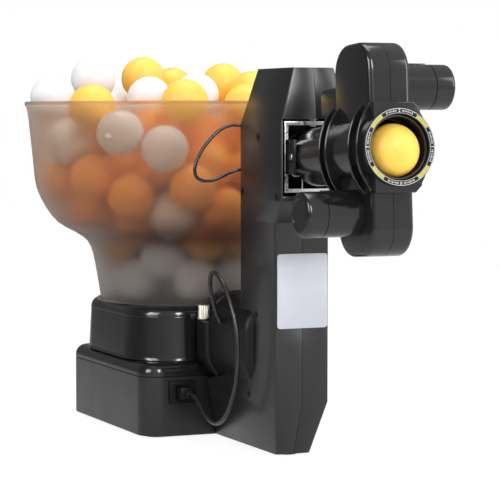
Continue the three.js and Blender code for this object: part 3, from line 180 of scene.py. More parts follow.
def smoke_plastic():
    """Smoky see-through plastic, darker in the neck, with a painted shadow in a band under the shoulder,
    painted light above it, and a rough skin that blurs what lies behind it.
    """
    m = new_material("smoke_clear")
    low, high = SMOKE_AND_PAINTED_SHADE[0][0], SMOKE_AND_PAINTED_SHADE[-1][0]
    shades = [((height - low) / (high - low), colour) for height, colour in SMOKE_AND_PAINTED_SHADE]
    m.put(m.shader, Base_Color=m.colours(m.ramp(m.height("Object"), 0, 1, low, high), shades),
          Roughness=m.ramp(m.noise(30), 0.33, 0.37), Transmission_Weight=0.94, IOR=1.2,
          Specular_IOR_Level=0.3)
    m.bump(m.noise(260, 2), 0.05, SKIN_DEPTH)
    return m.owner


# Where the mark of a ball's seam starts and ends to fade, and how deep light goes into its skin, in metres
SEAM_START, SEAM_END = 0.0001, 0.0005
GLOW_DEPTH = 0.006


def celluloid(name, colour, deep, glow=0.2):
    """Ball skin: slightly uneven colour, a soft sheen and the faint seam between its two halves."""
    m = new_material(name)
    seam = m.ramp(m.maths("ABSOLUTE", m.height("Object")), 0, 1, SEAM_START, SEAM_END)
    seam_colour = (*[c * 0.9 for c in colour], 1)
    base = m.colours(m.noise(60, 2), [(0.2, deep), (0.6, colour)])
    m.put(m.shader, Base_Color=m.mix(seam, seam_colour, base, data_type="RGBA"),
          Roughness=m.ramp(m.noise(200), 0.40, 0.48), Specular_IOR_Level=0.35,
          Subsurface_Weight=glow, Subsurface_Scale=GLOW_DEPTH)
    m.bump(seam, 0.15, SKIN_DEPTH)
    return m.owner


def circuit_board():
    """Green board with tracks and fields of two shades."""
    m = new_material("board_green")
    fields = m.noise(240, 2, stretch=(1, 0.2, 1))
    m.put(m.shader, Base_Color=m.colours(fields, [(0.35, (0.02, 0.12, 0.04)), (0.65, (0.05, 0.22, 0.08))]),
          Roughness=0.5)
    return m.owner


# Painted light and shade on the blank plate, from its foot to its top
PLATE_PAINTED_LIGHT = [(0.0, 0.55), (0.55, 0.66), (0.82, 0.60), (1.0, 0.42)]


def blank_plate():
    """The column's pale blank plate: satin, with painted light that makes it palest across its middle and
    painted shade towards its top and foot.
    """
    m = new_material("plate_grey")
    shades = [(place, (level * 0.96, level * 0.98, level * 1.08)) for place, level in PLATE_PAINTED_LIGHT]
    m.put(m.shader, Base_Color=m.colours(m.height("Generated"), shades),
          Roughness=m.ramp(m.noise(35, 4), 0.28, 0.33), Specular_IOR_Level=0.35)
    return m.owner


black = moulded("shell_black", (0.0075, 0.0072, 0.0080), 0.16, grain=0.06, level=0.5)
satin_black = moulded("shell_black_satin", (0.0085, 0.0080, 0.0090), 0.32, grain=0.1, level=0.5)
# A darker copy of the shell black for the duct, with a rougher finish: painted shade
painted_shade_black = moulded("shell_black_painted_shade", (0.0045, 0.0042, 0.0048), 0.42, grain=0.1, level=0.22)
# Almost lightless black for the sunk screw heads: painted shade of their recesses
screw_painted_shade = moulded("screw_head_painted_shade", (0.002, 0.002, 0.002), 0.6, level=0.08)
matt_black = moulded("inner_black", (0.006, 0.0055, 0.0055), 0.5, level=0.15)
lining_black = moulded("lining_black", (0.010, 0.0065, 0.005), 0.33, level=0.7)
rubber = moulded("rubber_pad", (0.008, 0.008, 0.008), 0.8, grain=0.6, level=0.15)
tyre = moulded("tyre_rubber", (0.02, 0.02, 0.021), 0.9, grain=0.8, level=0.2)
nylon = moulded("nylon_white", (0.66, 0.63, 0.54), 0.45, level=0.4)
jacket = moulded("cord_jacket", (0.009, 0.009, 0.0095), 0.28, grain=0.1, level=0.5)
dial_face = moulded("dial_black", (0.008, 0.008, 0.009), 0.25, level=0.3)
marks_white = moulded("marks_white", (0.70, 0.70, 0.70), 0.4, grain=0.05)
marks_yellow = moulded("marks_yellow", (0.74, 0.66, 0.14), 0.4, grain=0.05)
blackened = metal("blackened_zinc", (0.06, 0.06, 0.062), 0.35)
nickel = metal("nickel", (0.64, 0.57, 0.49), 0.42)
zinc = metal("zinc_sheet", (0.60, 0.61, 0.63), 0.3, brushed=(1, 0.15, 1))
steel = metal("steel", (0.42, 0.43, 0.45), 0.35)
smoke = smoke_plastic()
ball_white = celluloid("ball_white", (0.82, 0.82, 0.84), (0.78, 0.78, 0.80))
ball_orange = celluloid("ball_orange", (1.0, 0.44, 0.04), (1.0, 0.39, 0.03), glow=0.5)
# A lighter, yellower copy of the orange for the placed balls and the muzzle ball: painted light
painted_light_orange = celluloid("ball_orange_painted_light", (1.0, 0.62, 0.105), (1.0, 0.57, 0.09), glow=0.6)


def smooth_edges(mesh, degrees):
    """Rounds the shading over every edge flatter than the angle."""
    bm = bmesh.new()
    bm.from_mesh(mesh)
    limit = math.radians(degrees)
    for face in bm.faces:
        face.smooth = True
    for edge in bm.edges:
        edge.smooth = len(edge.link_faces) == 2 and edge.calc_face_angle(0) < limit
    bm.to_mesh(mesh)
    bm.free()


def add_object(name, data):
    obj = bpy.data.objects.new(name, data)
    bpy.context.scene.collection.objects.link(obj)
    return obj


def mesh_object(name, verts, faces, smooth=40):
    """A mesh object from points in millimetres."""
    mesh = bpy.data.meshes.new(name)
    mesh.from_pydata([tuple(c * MM for c in v) for v in verts], [], faces)
    mesh.validate()
    bm = bmesh.new()
    bm.from_mesh(mesh)
    bmesh.ops.remove_doubles(bm, verts=bm.verts, dist=1e-7)
    bmesh.ops.recalc_face_normals(bm, faces=bm.faces)
    bm.to_mesh(mesh)
    bm.free()
    smooth_edges(mesh, smooth)
    return add_object(name, mesh)


def set_material(obj, material):
    obj.data.materials.clear()
    obj.data.materials.append(material)


def dress(obj, material, body):
    set_material(obj, material)
    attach(obj, body)
    return obj


def piece(name, verts, faces, material, body, slot, smooth=40):
    """A new piece, given in millimetres, that rides on a body."""
    return dress(mesh_object(name, verts, faces, smooth), material, body)


def cut(obj, cutters, smooth=30):
    """Cuts closed pieces out of a mesh object and keeps what is left as its mesh."""
    for cutter in cutters:
        modifier = obj.modifiers.new("cut", "BOOLEAN")
        modifier.solver = "EXACT"
        modifier.object = cutter
    graph = bpy.context.evaluated_depsgraph_get()
    result = bpy.data.meshes.new_from_object(obj.evaluated_get(graph))
    obj.modifiers.clear()
    obj.data = result
    for cutter in cutters:
        bpy.data.objects.remove(cutter, do_unlink=True)
    smooth_edges(result, smooth)
    return obj


def skin(loops, ring=False):
    """Verts and faces of a skin through loops of equal length, with both ends capped unless it is a ring."""
    count = len(loops[0])
    verts = [tuple(v) for loop in loops for v in loop]
    faces = []
    for k in range(len(loops) if ring else len(loops) - 1):
        n = (k + 1) % len(loops)
        for i in range(count):
            j = (i + 1) % count
            faces.append((k * count + i, k * count + j, n * count + j, n * count + i))
    if not ring:
        faces.append(tuple(range(count))[::-1])
        faces.append(tuple((len(loops) - 1) * count + i for i in range(count)))
    return verts, faces


def full_turn(count):
    return [2 * math.pi * i / count for i in range(count)]


def quarter_turn(steps):
    return [math.pi / 2 * i / steps for i in range(steps + 1)]


def round_rectangle(low_x, high_x, low_y, high_y, radius, steps):
    centres = [(high_x - radius, high_y - radius), (low_x + radius, high_y - radius),
               (low_x + radius, low_y + radius), (high_x - radius, low_y + radius)]
    points = []
    for quarter, (x, y) in enumerate(centres):
        for i in range(steps + 1):
            a = (quarter + i / steps) * math.pi / 2
            points.append((x + radius * math.cos(a), y + radius * math.sin(a)))
    return points


def outline_of(low_x, high_x, low_y, high_y, corner, steps, same_corner=False):
    """A function that gives a rounded rectangle, drawn in by an inset."""
    def outline(inset):
        radius = corner if same_corner else corner - inset
        return round_rectangle(low_x + inset, high_x - inset, low_y + inset, high_y - inset, radius, steps)
    return outline


def rounded_plate(outline, low, high, edge, place, steps=5):
    """Loops of a plate between two depths, from its outline for an inset and a place for each point."""
    levels = quarter_turn(steps)
    loops = [(edge * (1 - math.sin(a)), low + edge * (1 - math.cos(a))) for a in levels]
    loops += [(edge * (1 - math.sin(a)), high - edge * (1 - math.cos(a))) for a in reversed(levels)]
    return [[place(p, q, depth) for p, q in outline(inset)] for inset, depth in loops]


def level_loops(outline, table):
    """Level loops for rows of an inset and a height."""
    return [[(x, y, height) for x, y in outline(inset)] for inset, height in table]


def round_over(radius, height, rise, inset=0, steps=7):
    """Rows of an inset and a height round an edge; rise is 1 up to the height and -1 down to it."""
    return [(inset + radius * (1 - math.cos(a)), height - rise * radius * (1 - math.sin(a)))
            for a in quarter_turn(steps)]


def lathe(profile, segments):
    """Verts and faces of [radius, height] pairs turned round Z; the profile closes on itself."""
    verts, faces = [], []
    count = len(profile)
    for a in full_turn(segments):
        verts += [(r * math.cos(a), r * math.sin(a), h) for r, h in profile]
    for i in range(segments):
        j = (i + 1) % segments
        for k in range(count):
            n = (k + 1) % count
            faces.append((i * count + k, j * count + k, j * count + n, i * count + n))
    return verts, faces


def lathe_along(profile, segments, origin, axis):
    """The same, laid along an axis through a point."""
    verts, faces = lathe(profile, segments)
    turn = Vector(axis).to_track_quat("Z", "Y")
    return [tuple(Vector(origin) + turn @ Vector(v)) for v in verts], faces


def turned(name, profile, origin, axis, material, body, slot, segments=SEGMENTS, smooth=30):
    return piece(name, *lathe_along(profile, segments, origin, axis), material, body, slot, smooth)


def rod(name, radius, start, end, origin, axis, segments=SEGMENTS):
    """A plain round bar from start to end along an axis, to cut with."""
    profile = [(0, start), (radius, start), (radius, end), (0, end)]
    return mesh_object(name, *lathe_along(profile, segments, origin, axis))


def box(name, low, high):
    corners = [(low[0], low[1]), (high[0], low[1]), (high[0], high[1]), (low[0], high[1])]
    return mesh_object(name, *skin([[(x, y, z) for x, y in corners] for z in (low[2], high[2])]))


def bead(path, radius):
    """Verts and faces of a thin round bead along a closed level path."""
    section = [(radius * math.cos(a), radius * math.sin(a)) for a in full_turn(8)]
    loops = []
    for i, point in enumerate(path):
        ahead = Vector(path[(i + 1) % len(path)]) - Vector(path[i - 1])
        side = ahead.cross(Vector(UPRIGHT)).normalized()
        loops.append([tuple(Vector(point) + side * x + Vector((0, 0, z))) for x, z in section])
    return skin(loops, ring=True)


LINE_STEPS = 6


def catmull(points, steps):
    """Smooth line through points, as many steps to each span."""
    pts = [Vector(p) for p in points]
    ends = [pts[0] * 2 - pts[1]] + pts + [pts[-1] * 2 - pts[-2]]
    line = []
    for i in range(1, len(ends) - 2):
        p0, p1, p2, p3 = ends[i - 1:i + 3]
        for k in range(steps):
            t = k / steps
            line.append(0.5 * (2 * p1 + (p2 - p0) * t + (2 * p0 - 5 * p1 + 4 * p2 - p3) * t * t
                               + (3 * p1 - p0 - 3 * p2 + p3) * t ** 3))
    return line + [pts[-1]]


def round_line(name, line, radius, material, body):
    """A round curve along the points of a line."""
    curve = bpy.data.curves.new(name, "CURVE")
    curve.dimensions = "3D"
    curve.bevel_depth = radius * MM
    curve.bevel_resolution = 4
    curve.use_fill_caps = True
    spline = curve.splines.new("POLY")
    spline.points.add(len(line) - 1)
    for point, place in zip(spline.points, line):
        point.co = (*(place * MM), 1)
    spline.use_smooth = True
    return dress(add_object(name, curve), material, body)


# Camera: place in metres, how far it looks down and to the right in degrees, lens, and reach in metres
CAMERA_PLACE = (-0.71705, -1.7972, 0.2736)
CAMERA_DOWN, CAMERA_RIGHT = 3.534, 23.37
CAMERA_LENS, CAMERA_SENSOR = 154.5, 36
CAMERA_NEAR, CAMERA_FAR = 0.05, 20


def add_camera():
    data = bpy.data.cameras.new("camera")
    data.sensor_width = CAMERA_SENSOR
    data.lens = CAMERA_LENS
    data.clip_start = CAMERA_NEAR
    data.clip_end = CAMERA_FAR
    camera = add_object("camera", data)
    camera.location = CAMERA_PLACE
    camera.rotation_euler = (math.radians(90 - CAMERA_DOWN), 0, -math.radians(CAMERA_RIGHT))
    bpy.context.scene.camera = camera


add_camera()

LEAD_ROUTE = [
    (-46, -117.7, 39), (-46, -124, 38.6), (-46, -131, 36.6), (-46, -138, 33), (-46, -147, 27.5),
    (-45.5, -158, 23), (-45, -170, 21.5), (-44.5, -182, 25), (-44, -193, 33), (-43.5, -202, 45),
    (-43, -209, 60), (-43, -212.5, 77), (-43, -212, 94), (-43.5, -208, 110), (-44, -200, 124),
    (-44.5, -189, 136), (-45, -176, 144), (-44.5, -165, 146), (-44, -157, 142), (-42, -152, 133),
    (-39, -150, 122), (-35.5, -149, 111), (-31.6, -148.5, 103),
]
LOOP_ROUTE = [
    (-24, -187.6, 266), (-24.3, -184.6, 266.2), (-28.5, -181.6, 267.3), (-35, -180.6, 267.4),
    (-43, -180.2, 264.5), (-51, -180, 258.5), (-59, -180, 249.5), (-64.5, -180, 240.5),
    (-67, -180, 232.5), (-66, -180, 226), (-61, -180.5, 222.6), (-53, -181, 222.4), (-45, -181.5, 225),
    (-37, -180.9, 228.4), (-29, -181.8, 231), (-24.4, -184.6, 232), (-24, -187.6, 232.2),
]


def cord(name, node, route, radius, stiffness, **more):
    """A cord that stands for a CAD node, and goes back into the object at its far end."""
    line = catmull(route, LINE_STEPS)
    obj = round_line(name, line, radius, jacket, "base")
    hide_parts(node)


cord("lead", "control_lead", LEAD_ROUTE, 1.9, "medium", with_pieces=[nodes["lead_plug"]])
cord("loop", "cabin_loop", LOOP_ROUTE, 1.4, "stiff")

# The bowl's profile as radius and height: foot, outside and rim, then over the lip and down to the floor
BOWL_FOOT = [(80, 110.7), (83.2, 110.7), (83.2, 112.4), (80.2, 113.2)]
BOWL_OUTSIDE = [
    (82.3, 127), (85, 143), (86.8, 151.5), (88.8, 158), (92, 163.6), (96.4, 167.4), (103, 171.6),
    (111.1, 175.6), (118.4, 180.4), (124.2, 186.6), (129.2, 194.2), (133, 201.2), (135.6, 207),
    (137.3, 212), (138.8, 220), (140.9, 243), (144, 273),
]
BOWL_RIM = [(145.6, 282.4), (147.2, 284.4), (147.2, 287.4)]
BOWL_LIP = [(146.4, 287.6), (144.6, 287.5), (143.6, 284)]
BOWL_FLOOR = [(78, 113.4), (69, 113.2), (69, 110.7)]
BOWL_WALL, BOWL_WALL_LIFT = 2.3, 0.6


def add_bowl():
    inside = [(r - BOWL_WALL, z + BOWL_WALL_LIFT) for r, z in BOWL_OUTSIDE]
    profile = BOWL_FOOT + BOWL_OUTSIDE + BOWL_RIM + BOWL_LIP + inside[::-1] + BOWL_FLOOR
    bowl = piece("bowl", *lathe(profile, FINE_SEGMENTS), smoke, "hopper", "smoke_clear", smooth=38)
    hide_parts("hopper_bowl")


add_bowl()

BALL_RADIUS = 20


def ball_mesh(detail, material):
    mesh = bpy.data.meshes.new("ball")
    bm = bmesh.new()
    bmesh.ops.create_icosphere(bm, subdivisions=detail, radius=BALL_RADIUS * MM)
    for face in bm.faces:
        face.smooth = True
    bm.to_mesh(mesh)
    bm.free()
    mesh.materials.append(material)
    return mesh


# Ball meshes by whether the ball is white, and whether it has a place of its own and so is finer; orange
# balls with a place of their own wear the painted-light copy of the orange
BALL_MESHES = {
    (False, False): ball_mesh(3, ball_orange), (False, True): ball_mesh(4, painted_light_orange),
    (True, False): ball_mesh(3, ball_white), (True, True): ball_mesh(4, ball_white),
}

# Balls with a place of their own, on top of the pile and against the bowl's wall: centre, and whether white
PLACED_BALLS = [
    ((-118.6, 30, 291.4), True), ((-74.5, 48, 307.8), True), ((-107.5, -44.0, 282.2), False),
    ((-20.9, 62, 309.2), False), ((21.1, 96, 300.6), False), ((-36.8, 4, 290.2), True),
    ((-37.5, -84, 286.5), False), ((-9.2, -40, 292.6), True), ((57.9, 60, 304.1), False),
    ((29.8, -60, 282.9), False), ((64.1, 6.0, 296.0), False), ((-26.2, 100.0, 282.5), True),
    ((-117.6, -15.0, 251.8), True), ((-93.4, -76, 260.4), True), ((-62.1, -100, 246.9), True),
    ((-46.7, -76.9, 188.9), True), ((-43.2, -46.3, 150.9), True),
]
BALL_COUNT = 112

# The other balls' centres stay between the pile's floor and top, and start above a height between them
PILE_FLOOR, PILE_START, PILE_TOP = 131, 140, 266

# In each step they sink, less and less, and move a share of the way out of each other
SETTLING_STEPS = 1700
SINK, SINK_FADE = 0.3, 1.3
SPARE_GAP, PUSH_SHARE = 0.1, 0.45

# Stands for a ball's distance from itself, so that it doesn't push itself
FROM_ITSELF = 1e3

# The bowl's wall for the balls: steps to each span, wall and gap, and the reach far from any wall
WALL_STEPS, WALL_ROOM, FREE_REACH = 8, 2.6, 124.0
NO_WALL = 1e9

# The other balls are white below a height, and by chance behind a Y and right of an X
WHITE_BELOW, WHITE_BEHIND, WHITE_FROM_X, WHITE_SHARE = 150, 40, -50, 0.35

# Seeds of the random places, and of the turns and colours, and the range of a turn in radians
PLACE_SEED, TURN_SEED = 7, 11
TURN_RANGE = 6.28

# The ball in the muzzle: its place along the barrel and above its axis, and its turn
MUZZLE_BALL_AHEAD, MUZZLE_BALL_UP = 122.5, -2.1
MUZZLE_BALL_TURN = (0.4, 0.9, 0.2)


def bowl_reach(heights):
    """Largest distance from the bowl's axis that a ball's centre can have at each height."""
    side, wall = BOWL_OUTSIDE + BOWL_RIM, []
    for (r0, z0), (r1, z1) in zip(side, side[1:]):
        wall += [(r0 + (r1 - r0) * k / WALL_STEPS - WALL_ROOM, z0 + (z1 - z0) * k / WALL_STEPS)
                 for k in range(WALL_STEPS)]
    wall = numpy.array(wall)
    rise = wall[None, :, 1] - heights[:, None]
    room = wall[None, :, 0] - numpy.sqrt(numpy.maximum(BALL_RADIUS ** 2 - rise ** 2, 0))
    least = numpy.where(numpy.abs(rise) < BALL_RADIUS, room, NO_WALL).min(1)
    return numpy.where(least == NO_WALL, FREE_REACH, least)


def scattered_balls():
    """First centres of the balls: the placed ones, then others at random in the bowl."""
    rng = numpy.random.default_rng(PLACE_SEED)
    place = numpy.empty((BALL_COUNT, 3))
    place[:, 2] = rng.uniform(PILE_START, PILE_TOP, BALL_COUNT)
    angle = rng.uniform(0, 2 * math.pi, BALL_COUNT)
    radius = numpy.sqrt(rng.uniform(0, 1, BALL_COUNT)) * bowl_reach(place[:, 2])
    place[:, 0], place[:, 1] = radius * numpy.cos(angle), radius * numpy.sin(angle)
    place[:len(PLACED_BALLS)] = [centre for centre, white in PLACED_BALLS]
    return place


def settled_balls():
    """Centres of the balls in the bowl: all but the placed ones sink and push each other apart."""
    place = scattered_balls()
    fixed = len(PLACED_BALLS)
    for step in range(SETTLING_STEPS):
        apart = place[:, None] - place[None]
        far = numpy.sqrt((apart ** 2).sum(-1)) + numpy.eye(BALL_COUNT) * FROM_ITSELF
        push = numpy.maximum(2 * BALL_RADIUS + SPARE_GAP - far, 0)
        move = (apart / far[..., None] * (push * PUSH_SHARE)[..., None]).sum(1)
        move[:, 2] -= SINK * max(0, 1 - SINK_FADE * step / SETTLING_STEPS)
        place[fixed:] += move[fixed:]
        place[fixed:, 2] = numpy.clip(place[fixed:, 2], PILE_FLOOR, PILE_TOP)
        out = numpy.hypot(place[fixed:, 0], place[fixed:, 1])
        share = numpy.minimum(1, bowl_reach(place[fixed:, 2]) / out)
        place[fixed:, :2] *= share[:, None]
    return place


def is_white(centre, chance):
    behind = centre[1] > WHITE_BEHIND and centre[0] > WHITE_FROM_X
    return centre[2] < WHITE_BELOW or (behind and chance.random() < WHITE_SHARE)


def ball(name, centre, white, body, placed, turn):
    obj = add_object(name, BALL_MESHES[bool(white), placed])
    obj.location = Vector(centre) * MM
    obj.rotation_euler = turn
    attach(obj, body)


def head_point(across, ahead, up):
    """A point by its distances from the tilt axis: across, along the barrel and up from it."""
    return TILT_AXIS + Vector((across, 0, 0)) + AHEAD * ahead + UP * up


def add_balls():
    chance = random.Random(TURN_SEED)
    for i, centre in enumerate(settled_balls()):
        turn = [chance.uniform(0, TURN_RANGE) for axis in range(3)]
        placed = i < len(PLACED_BALLS)
        white = PLACED_BALLS[i][1] if placed else is_white(centre, chance)
        ball(f"ball_{i + 1:03d}", centre, white, "hopper", placed, turn)
    muzzle = head_point(0, MUZZLE_BALL_AHEAD, MUZZLE_BALL_UP)
    ball("ball_muzzle", muzzle, False, "head", True, MUZZLE_BALL_TURN)


add_balls()

TRAY_LOW, TRAY_TOP, TRAY_ROUNDING = 1.5, 52.3, 1.2
DECK_LOW, DECK_TOP, DECK_ROUNDING = 52.6, 64, 9
BASE_WALL, SEAM_EDGE = 2.4, 0.3
TRAY_INSIDE = [(BASE_WALL, TRAY_LOW + BASE_WALL), (BASE_WALL, TRAY_TOP)]
DECK_INSIDE = [(9, DECK_TOP - BASE_WALL), (3.4, 60), (BASE_WALL, 57), (BASE_WALL, DECK_LOW)]
SOCKET_HOLE = ((-58.3, -100, 29.2), (-33.7, -82, 48.8))
MOTOR_HOLE = (18.3, 40, 80)
base_outline = outline_of(-80.6, 80.6, -97.4, 97.4, 18, 12)

# Way of the ball tube through the base, the turret and the duct
TUBE_HOLE = 21.8
TUBE_AXIS = (0, 0, 77)


def tube_way(start, end):
    return rod("way", TUBE_HOLE, start, end, TUBE_AXIS, FORWARD, HOLE_SEGMENTS)


def add_base():
    """The base's open tray with its socket hole, and the deck with its well rounded upper edge."""
    table = [*TRAY_INSIDE, (SEAM_EDGE, TRAY_TOP), (0, TRAY_TOP - SEAM_EDGE),
             *round_over(TRAY_ROUNDING, TRAY_LOW, -1)]
    tray = mesh_object("tray", *skin(level_loops(base_outline, table)))
    dress(cut(tray, [box("room", *SOCKET_HOLE)]), satin_black, "base")
    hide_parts("base_tray")
    table = [*DECK_INSIDE, (SEAM_EDGE, DECK_LOW), (0, DECK_LOW + SEAM_EDGE),
             *round_over(DECK_ROUNDING, DECK_TOP, 1)]
    deck = mesh_object("deck", *skin(level_loops(base_outline, table)))
    hole = rod("hole", *MOTOR_HOLE, BASE_CENTRE, UPRIGHT, HOLE_SEGMENTS)
    dress(cut(deck, [hole, tube_way(25, 130)]), black, "base")
    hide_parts("base_deck")


add_base()

TURRET_LOW, TURRET_TOP, TURRET_ROUNDING, TURRET_TAPER = 64.3, 110.4, 8, 2
WELL_LOW, WELL_RADIUS, WELL_CHAMFER = 99.6, 68, 0.4
TURRET_FOOT = [(-0.8, TURRET_LOW), (-0.3, 65.2), (0, 67)]
TURRET_WALL, TURRET_SHELF = 3, 5
TURRET_COLLAR = [(68.2, 102), (73, 102), (73, TURRET_TOP - 0.7), (72.4, TURRET_TOP - 0.1),
                 (68.2, TURRET_TOP - 0.1)]
LID_LINE_INSET, LID_LINE_HEIGHT, LID_LINE_RADIUS = 1.95, 101.9, 0.4
turret_outline = outline_of(-79, 79, -87, 87, 46, 14)

# The post that carries the clamp screw, and the rib that ties it to the turret
POST_TOP = 100.4
POST_PLACE = (-24, -94, 0)
POST = [(0, TURRET_LOW), (4.2, TURRET_LOW), (4.2, 99.8), (3.6, POST_TOP), (2.3, POST_TOP), (2.3, 86.4),
        (0, 86.4)]
post_rib_outline = outline_of(-26.1, -21.9, -91.5, -84.2, 0.8, 4, same_corner=True)


def upright(x, y, z):
    return x, y, z


def turret_loops():
    """Loops of the turret's shell: up the outside, down into the rotor's well and down the inside."""
    outside = TURRET_FOOT + round_over(TURRET_ROUNDING, TURRET_TOP, 1, TURRET_TAPER)
    loops = level_loops(turret_outline, outside)
    ways = [Vector((x, y)).normalized() for x, y in turret_outline(0)]
    well = [(WELL_RADIUS + WELL_CHAMFER, TURRET_TOP), (WELL_RADIUS, TURRET_TOP - WELL_CHAMFER),
            (WELL_RADIUS, WELL_LOW)]
    loops += [[(way.x * radius, way.y * radius, height) for way in ways] for radius, height in well]
    inside = round_over(TURRET_SHELF, WELL_LOW, 1, TURRET_SHELF)[::-1]
    return loops + level_loops(turret_outline, inside + [(TURRET_WALL, TURRET_LOW)])


def add_turret():
    """The turret's shell, its collar and lid line, and the clamp screw's post."""
    shell = mesh_object("turret_shell", *skin(turret_loops(), ring=True))
    dress(cut(shell, [tube_way(50, 120)], 35), black, "base")
    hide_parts("turret")
    turned("turret_collar", TURRET_COLLAR, BASE_CENTRE, UPRIGHT, black, "base", "shell_black",
           FINE_SEGMENTS)
    turned("turret_post", POST, POST_PLACE, UPRIGHT, black, "base", "shell_black", 40, smooth=40)
    rib = rounded_plate(post_rib_outline, TURRET_LOW, POST_TOP, 0.5, upright, 3)
    piece("turret_rib", *skin(rib), black, "base", "shell_black")
    line = [(x, y, LID_LINE_HEIGHT) for x, y in turret_outline(LID_LINE_INSET)]
    piece("turret_lid_line", *bead(line, LID_LINE_RADIUS), black, "base", "shell_black")


DUCT_START, DUCT_END, DUCT_ROUNDING = 87.4, 200, 9
DUCT_COLLAR, DUCT_COLLAR_PROUD = (113, 123), 2.5
DUCT_COLLAR_ROOM = (100, 140)
RECESS, RECESS_PLACE = (20, 100, 140), (-36, -104, 0)
BOWL_ROOM = (87.5, 90, 140)
BEHIND_DUCT = ((-90, -87.7, 0), (90, 90, 150))
BELOW_DUCT = ((-90, -97.7, 0), (90, 90, 64.6))
duct_outline = outline_of(-31, 31, 50.3, 124, 26, 12)


def duct_collar_outline(inset):
    return duct_outline(inset - DUCT_COLLAR_PROUD)


def reaching(x, z, reach):
    return x, -reach, z


def finger_recess():
    return rod("recess", *RECESS, RECESS_PLACE, UPRIGHT, HOLE_SEGMENTS)


def add_duct():
    """The duct from the turret to the column, with its collar and a finger recess beside the clamp screw."""
    loops = rounded_plate(duct_outline, DUCT_START, DUCT_END, DUCT_ROUNDING, reaching, 6)
    duct = mesh_object("duct", *skin(loops))
    rooms = [finger_recess(), rod("bowl_room", *BOWL_ROOM, BASE_CENTRE, UPRIGHT),
             box("behind", *BEHIND_DUCT), box("below", *BELOW_DUCT), tube_way(60, 130)]
    # The duct and its collar wear the darker copy of the black, as painted shade
    dress(cut(duct, rooms), painted_shade_black, "base")
    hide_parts("neck_duct")
    loops = rounded_plate(duct_collar_outline, *DUCT_COLLAR, DUCT_COLLAR_PROUD, reaching)
    collar = mesh_object("duct_collar", *skin(loops))
    loops = [[reaching(x, z, reach) for x, z in duct_outline(0.3)] for reach in DUCT_COLLAR_ROOM]
    inner = mesh_object("inner", *skin(loops))
    dress(cut(collar, [finger_recess(), inner]), painted_shade_black, "base")


add_turret()
add_duct()

# Distances along the barrel from the tilt axis, upwards from the barrel's axis, and radii round it
HOUSING_START, HOUSING_END, HOUSING_HALF_HEIGHT = 62.5, 122.5, 79
MOUTH_START, MOUTH_FRONT = HOUSING_END + 0.3, 132.3
DIAL_START, DIAL_FRONT = 132.6, 135.6
WHEEL_AHEAD, WHEEL_UP = 92.5, 47
HOUSING_HALF_WIDTH, HOUSING_ROUNDING = 17, 4
LUG_HALF_WIDTH, LUG_ROUNDING = 16.6, 2.5
BORE_RADIUS, LUG_BORE_RADIUS = 24, 23.6
WHEEL_ROOM_RADIUS, WHEEL_ROOM_HALF_WIDTH = 28.7, 14
HALF_SEAM = 0.18
SEAM_SHEET = ((50, -90), (130, -90), (130, 90), (50, 90))
housing_outline = outline_of(HOUSING_START, HOUSING_END, -HOUSING_HALF_HEIGHT, HOUSING_HALF_HEIGHT, 22, 14)
lug_outline = outline_of(36.5, 84.5, 27.2, 49, 7, 8)


def beside(ahead, up, across):
    return tuple(head_point(across, ahead, up))


def facing(across, up, ahead):
    return tuple(head_point(across, ahead, up))


def bore(radius, start, end):
    return rod("bore", radius, start, end, TILT_AXIS, AHEAD)


def turned_on_head(name, profile, material=black, slot="shell_black", body="head", segments=SEGMENTS):
    return turned(name, profile, TILT_AXIS, AHEAD, material, body, slot, segments)


def add_housing():
    """The wheel housing, less the ball's way, the wheels' rooms and the seam of its halves, and its lug."""
    sides = (-HOUSING_HALF_WIDTH, HOUSING_HALF_WIDTH)
    loops = rounded_plate(housing_outline, *sides, HOUSING_ROUNDING, beside, 6)
    shell = mesh_object("head_housing", *skin(loops))
    rooms = [rod("room", WHEEL_ROOM_RADIUS, -WHEEL_ROOM_HALF_WIDTH, WHEEL_ROOM_HALF_WIDTH,
                 head_point(0, WHEEL_AHEAD, side * WHEEL_UP), (1, 0, 0)) for side in (-1, 1)]
    seam = mesh_object("seam", *skin([[beside(*p, x) for p in SEAM_SHEET] for x in (-HALF_SEAM, HALF_SEAM)]))
    dress(cut(shell, [bore(BORE_RADIUS, 50, 130), *rooms, seam]), black, "head")
    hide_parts("head_shell_left", "head_shell_right")
    loops = rounded_plate(lug_outline, -LUG_HALF_WIDTH, LUG_HALF_WIDTH, LUG_ROUNDING, beside)
    lug = mesh_object("head_lug", *skin(loops))
    dress(cut(lug, [bore(LUG_BORE_RADIUS, 30, 90)]), black, "head")


BARREL = [(23.6, 58.6), (26, 58.6), (26.5, 59.1), (26.5, HOUSING_END), (24.1, HOUSING_END), (24.1, 114.2),
          (21.2, 114.2), (21.2, 64.6), (23.6, 64.6)]
RIB_STARTS = (58.6, 69.6, 108.3)
RIB_THICKNESS, RIB_EDGE, RIB_HOLE = 2.2, 0.5, 26.2
FLANGE_ACROSS, FLANGE_UP = 30, 40


def head_ring(ahead, across, up, most):
    """Points of an upright ellipse round the barrel, cut level above and below at most so high."""
    return [facing(across * math.cos(a), max(-most, min(most, up * math.sin(a))), ahead)
            for a in full_turn(SEGMENTS)]


def flange(name, rows, hole, most=FLANGE_UP, smooth=40):
    """A thin oval flange round the barrel, from rows of an inset and a distance ahead."""
    loops = [head_ring(ahead, FLANGE_ACROSS - inset, FLANGE_UP - inset, most) for inset, ahead in rows]
    loops += [head_ring(ahead, hole, hole, most) for inset, ahead in (rows[-1], rows[0])]
    piece(name, *skin(loops, ring=True), black, "head", "shell_black", smooth)


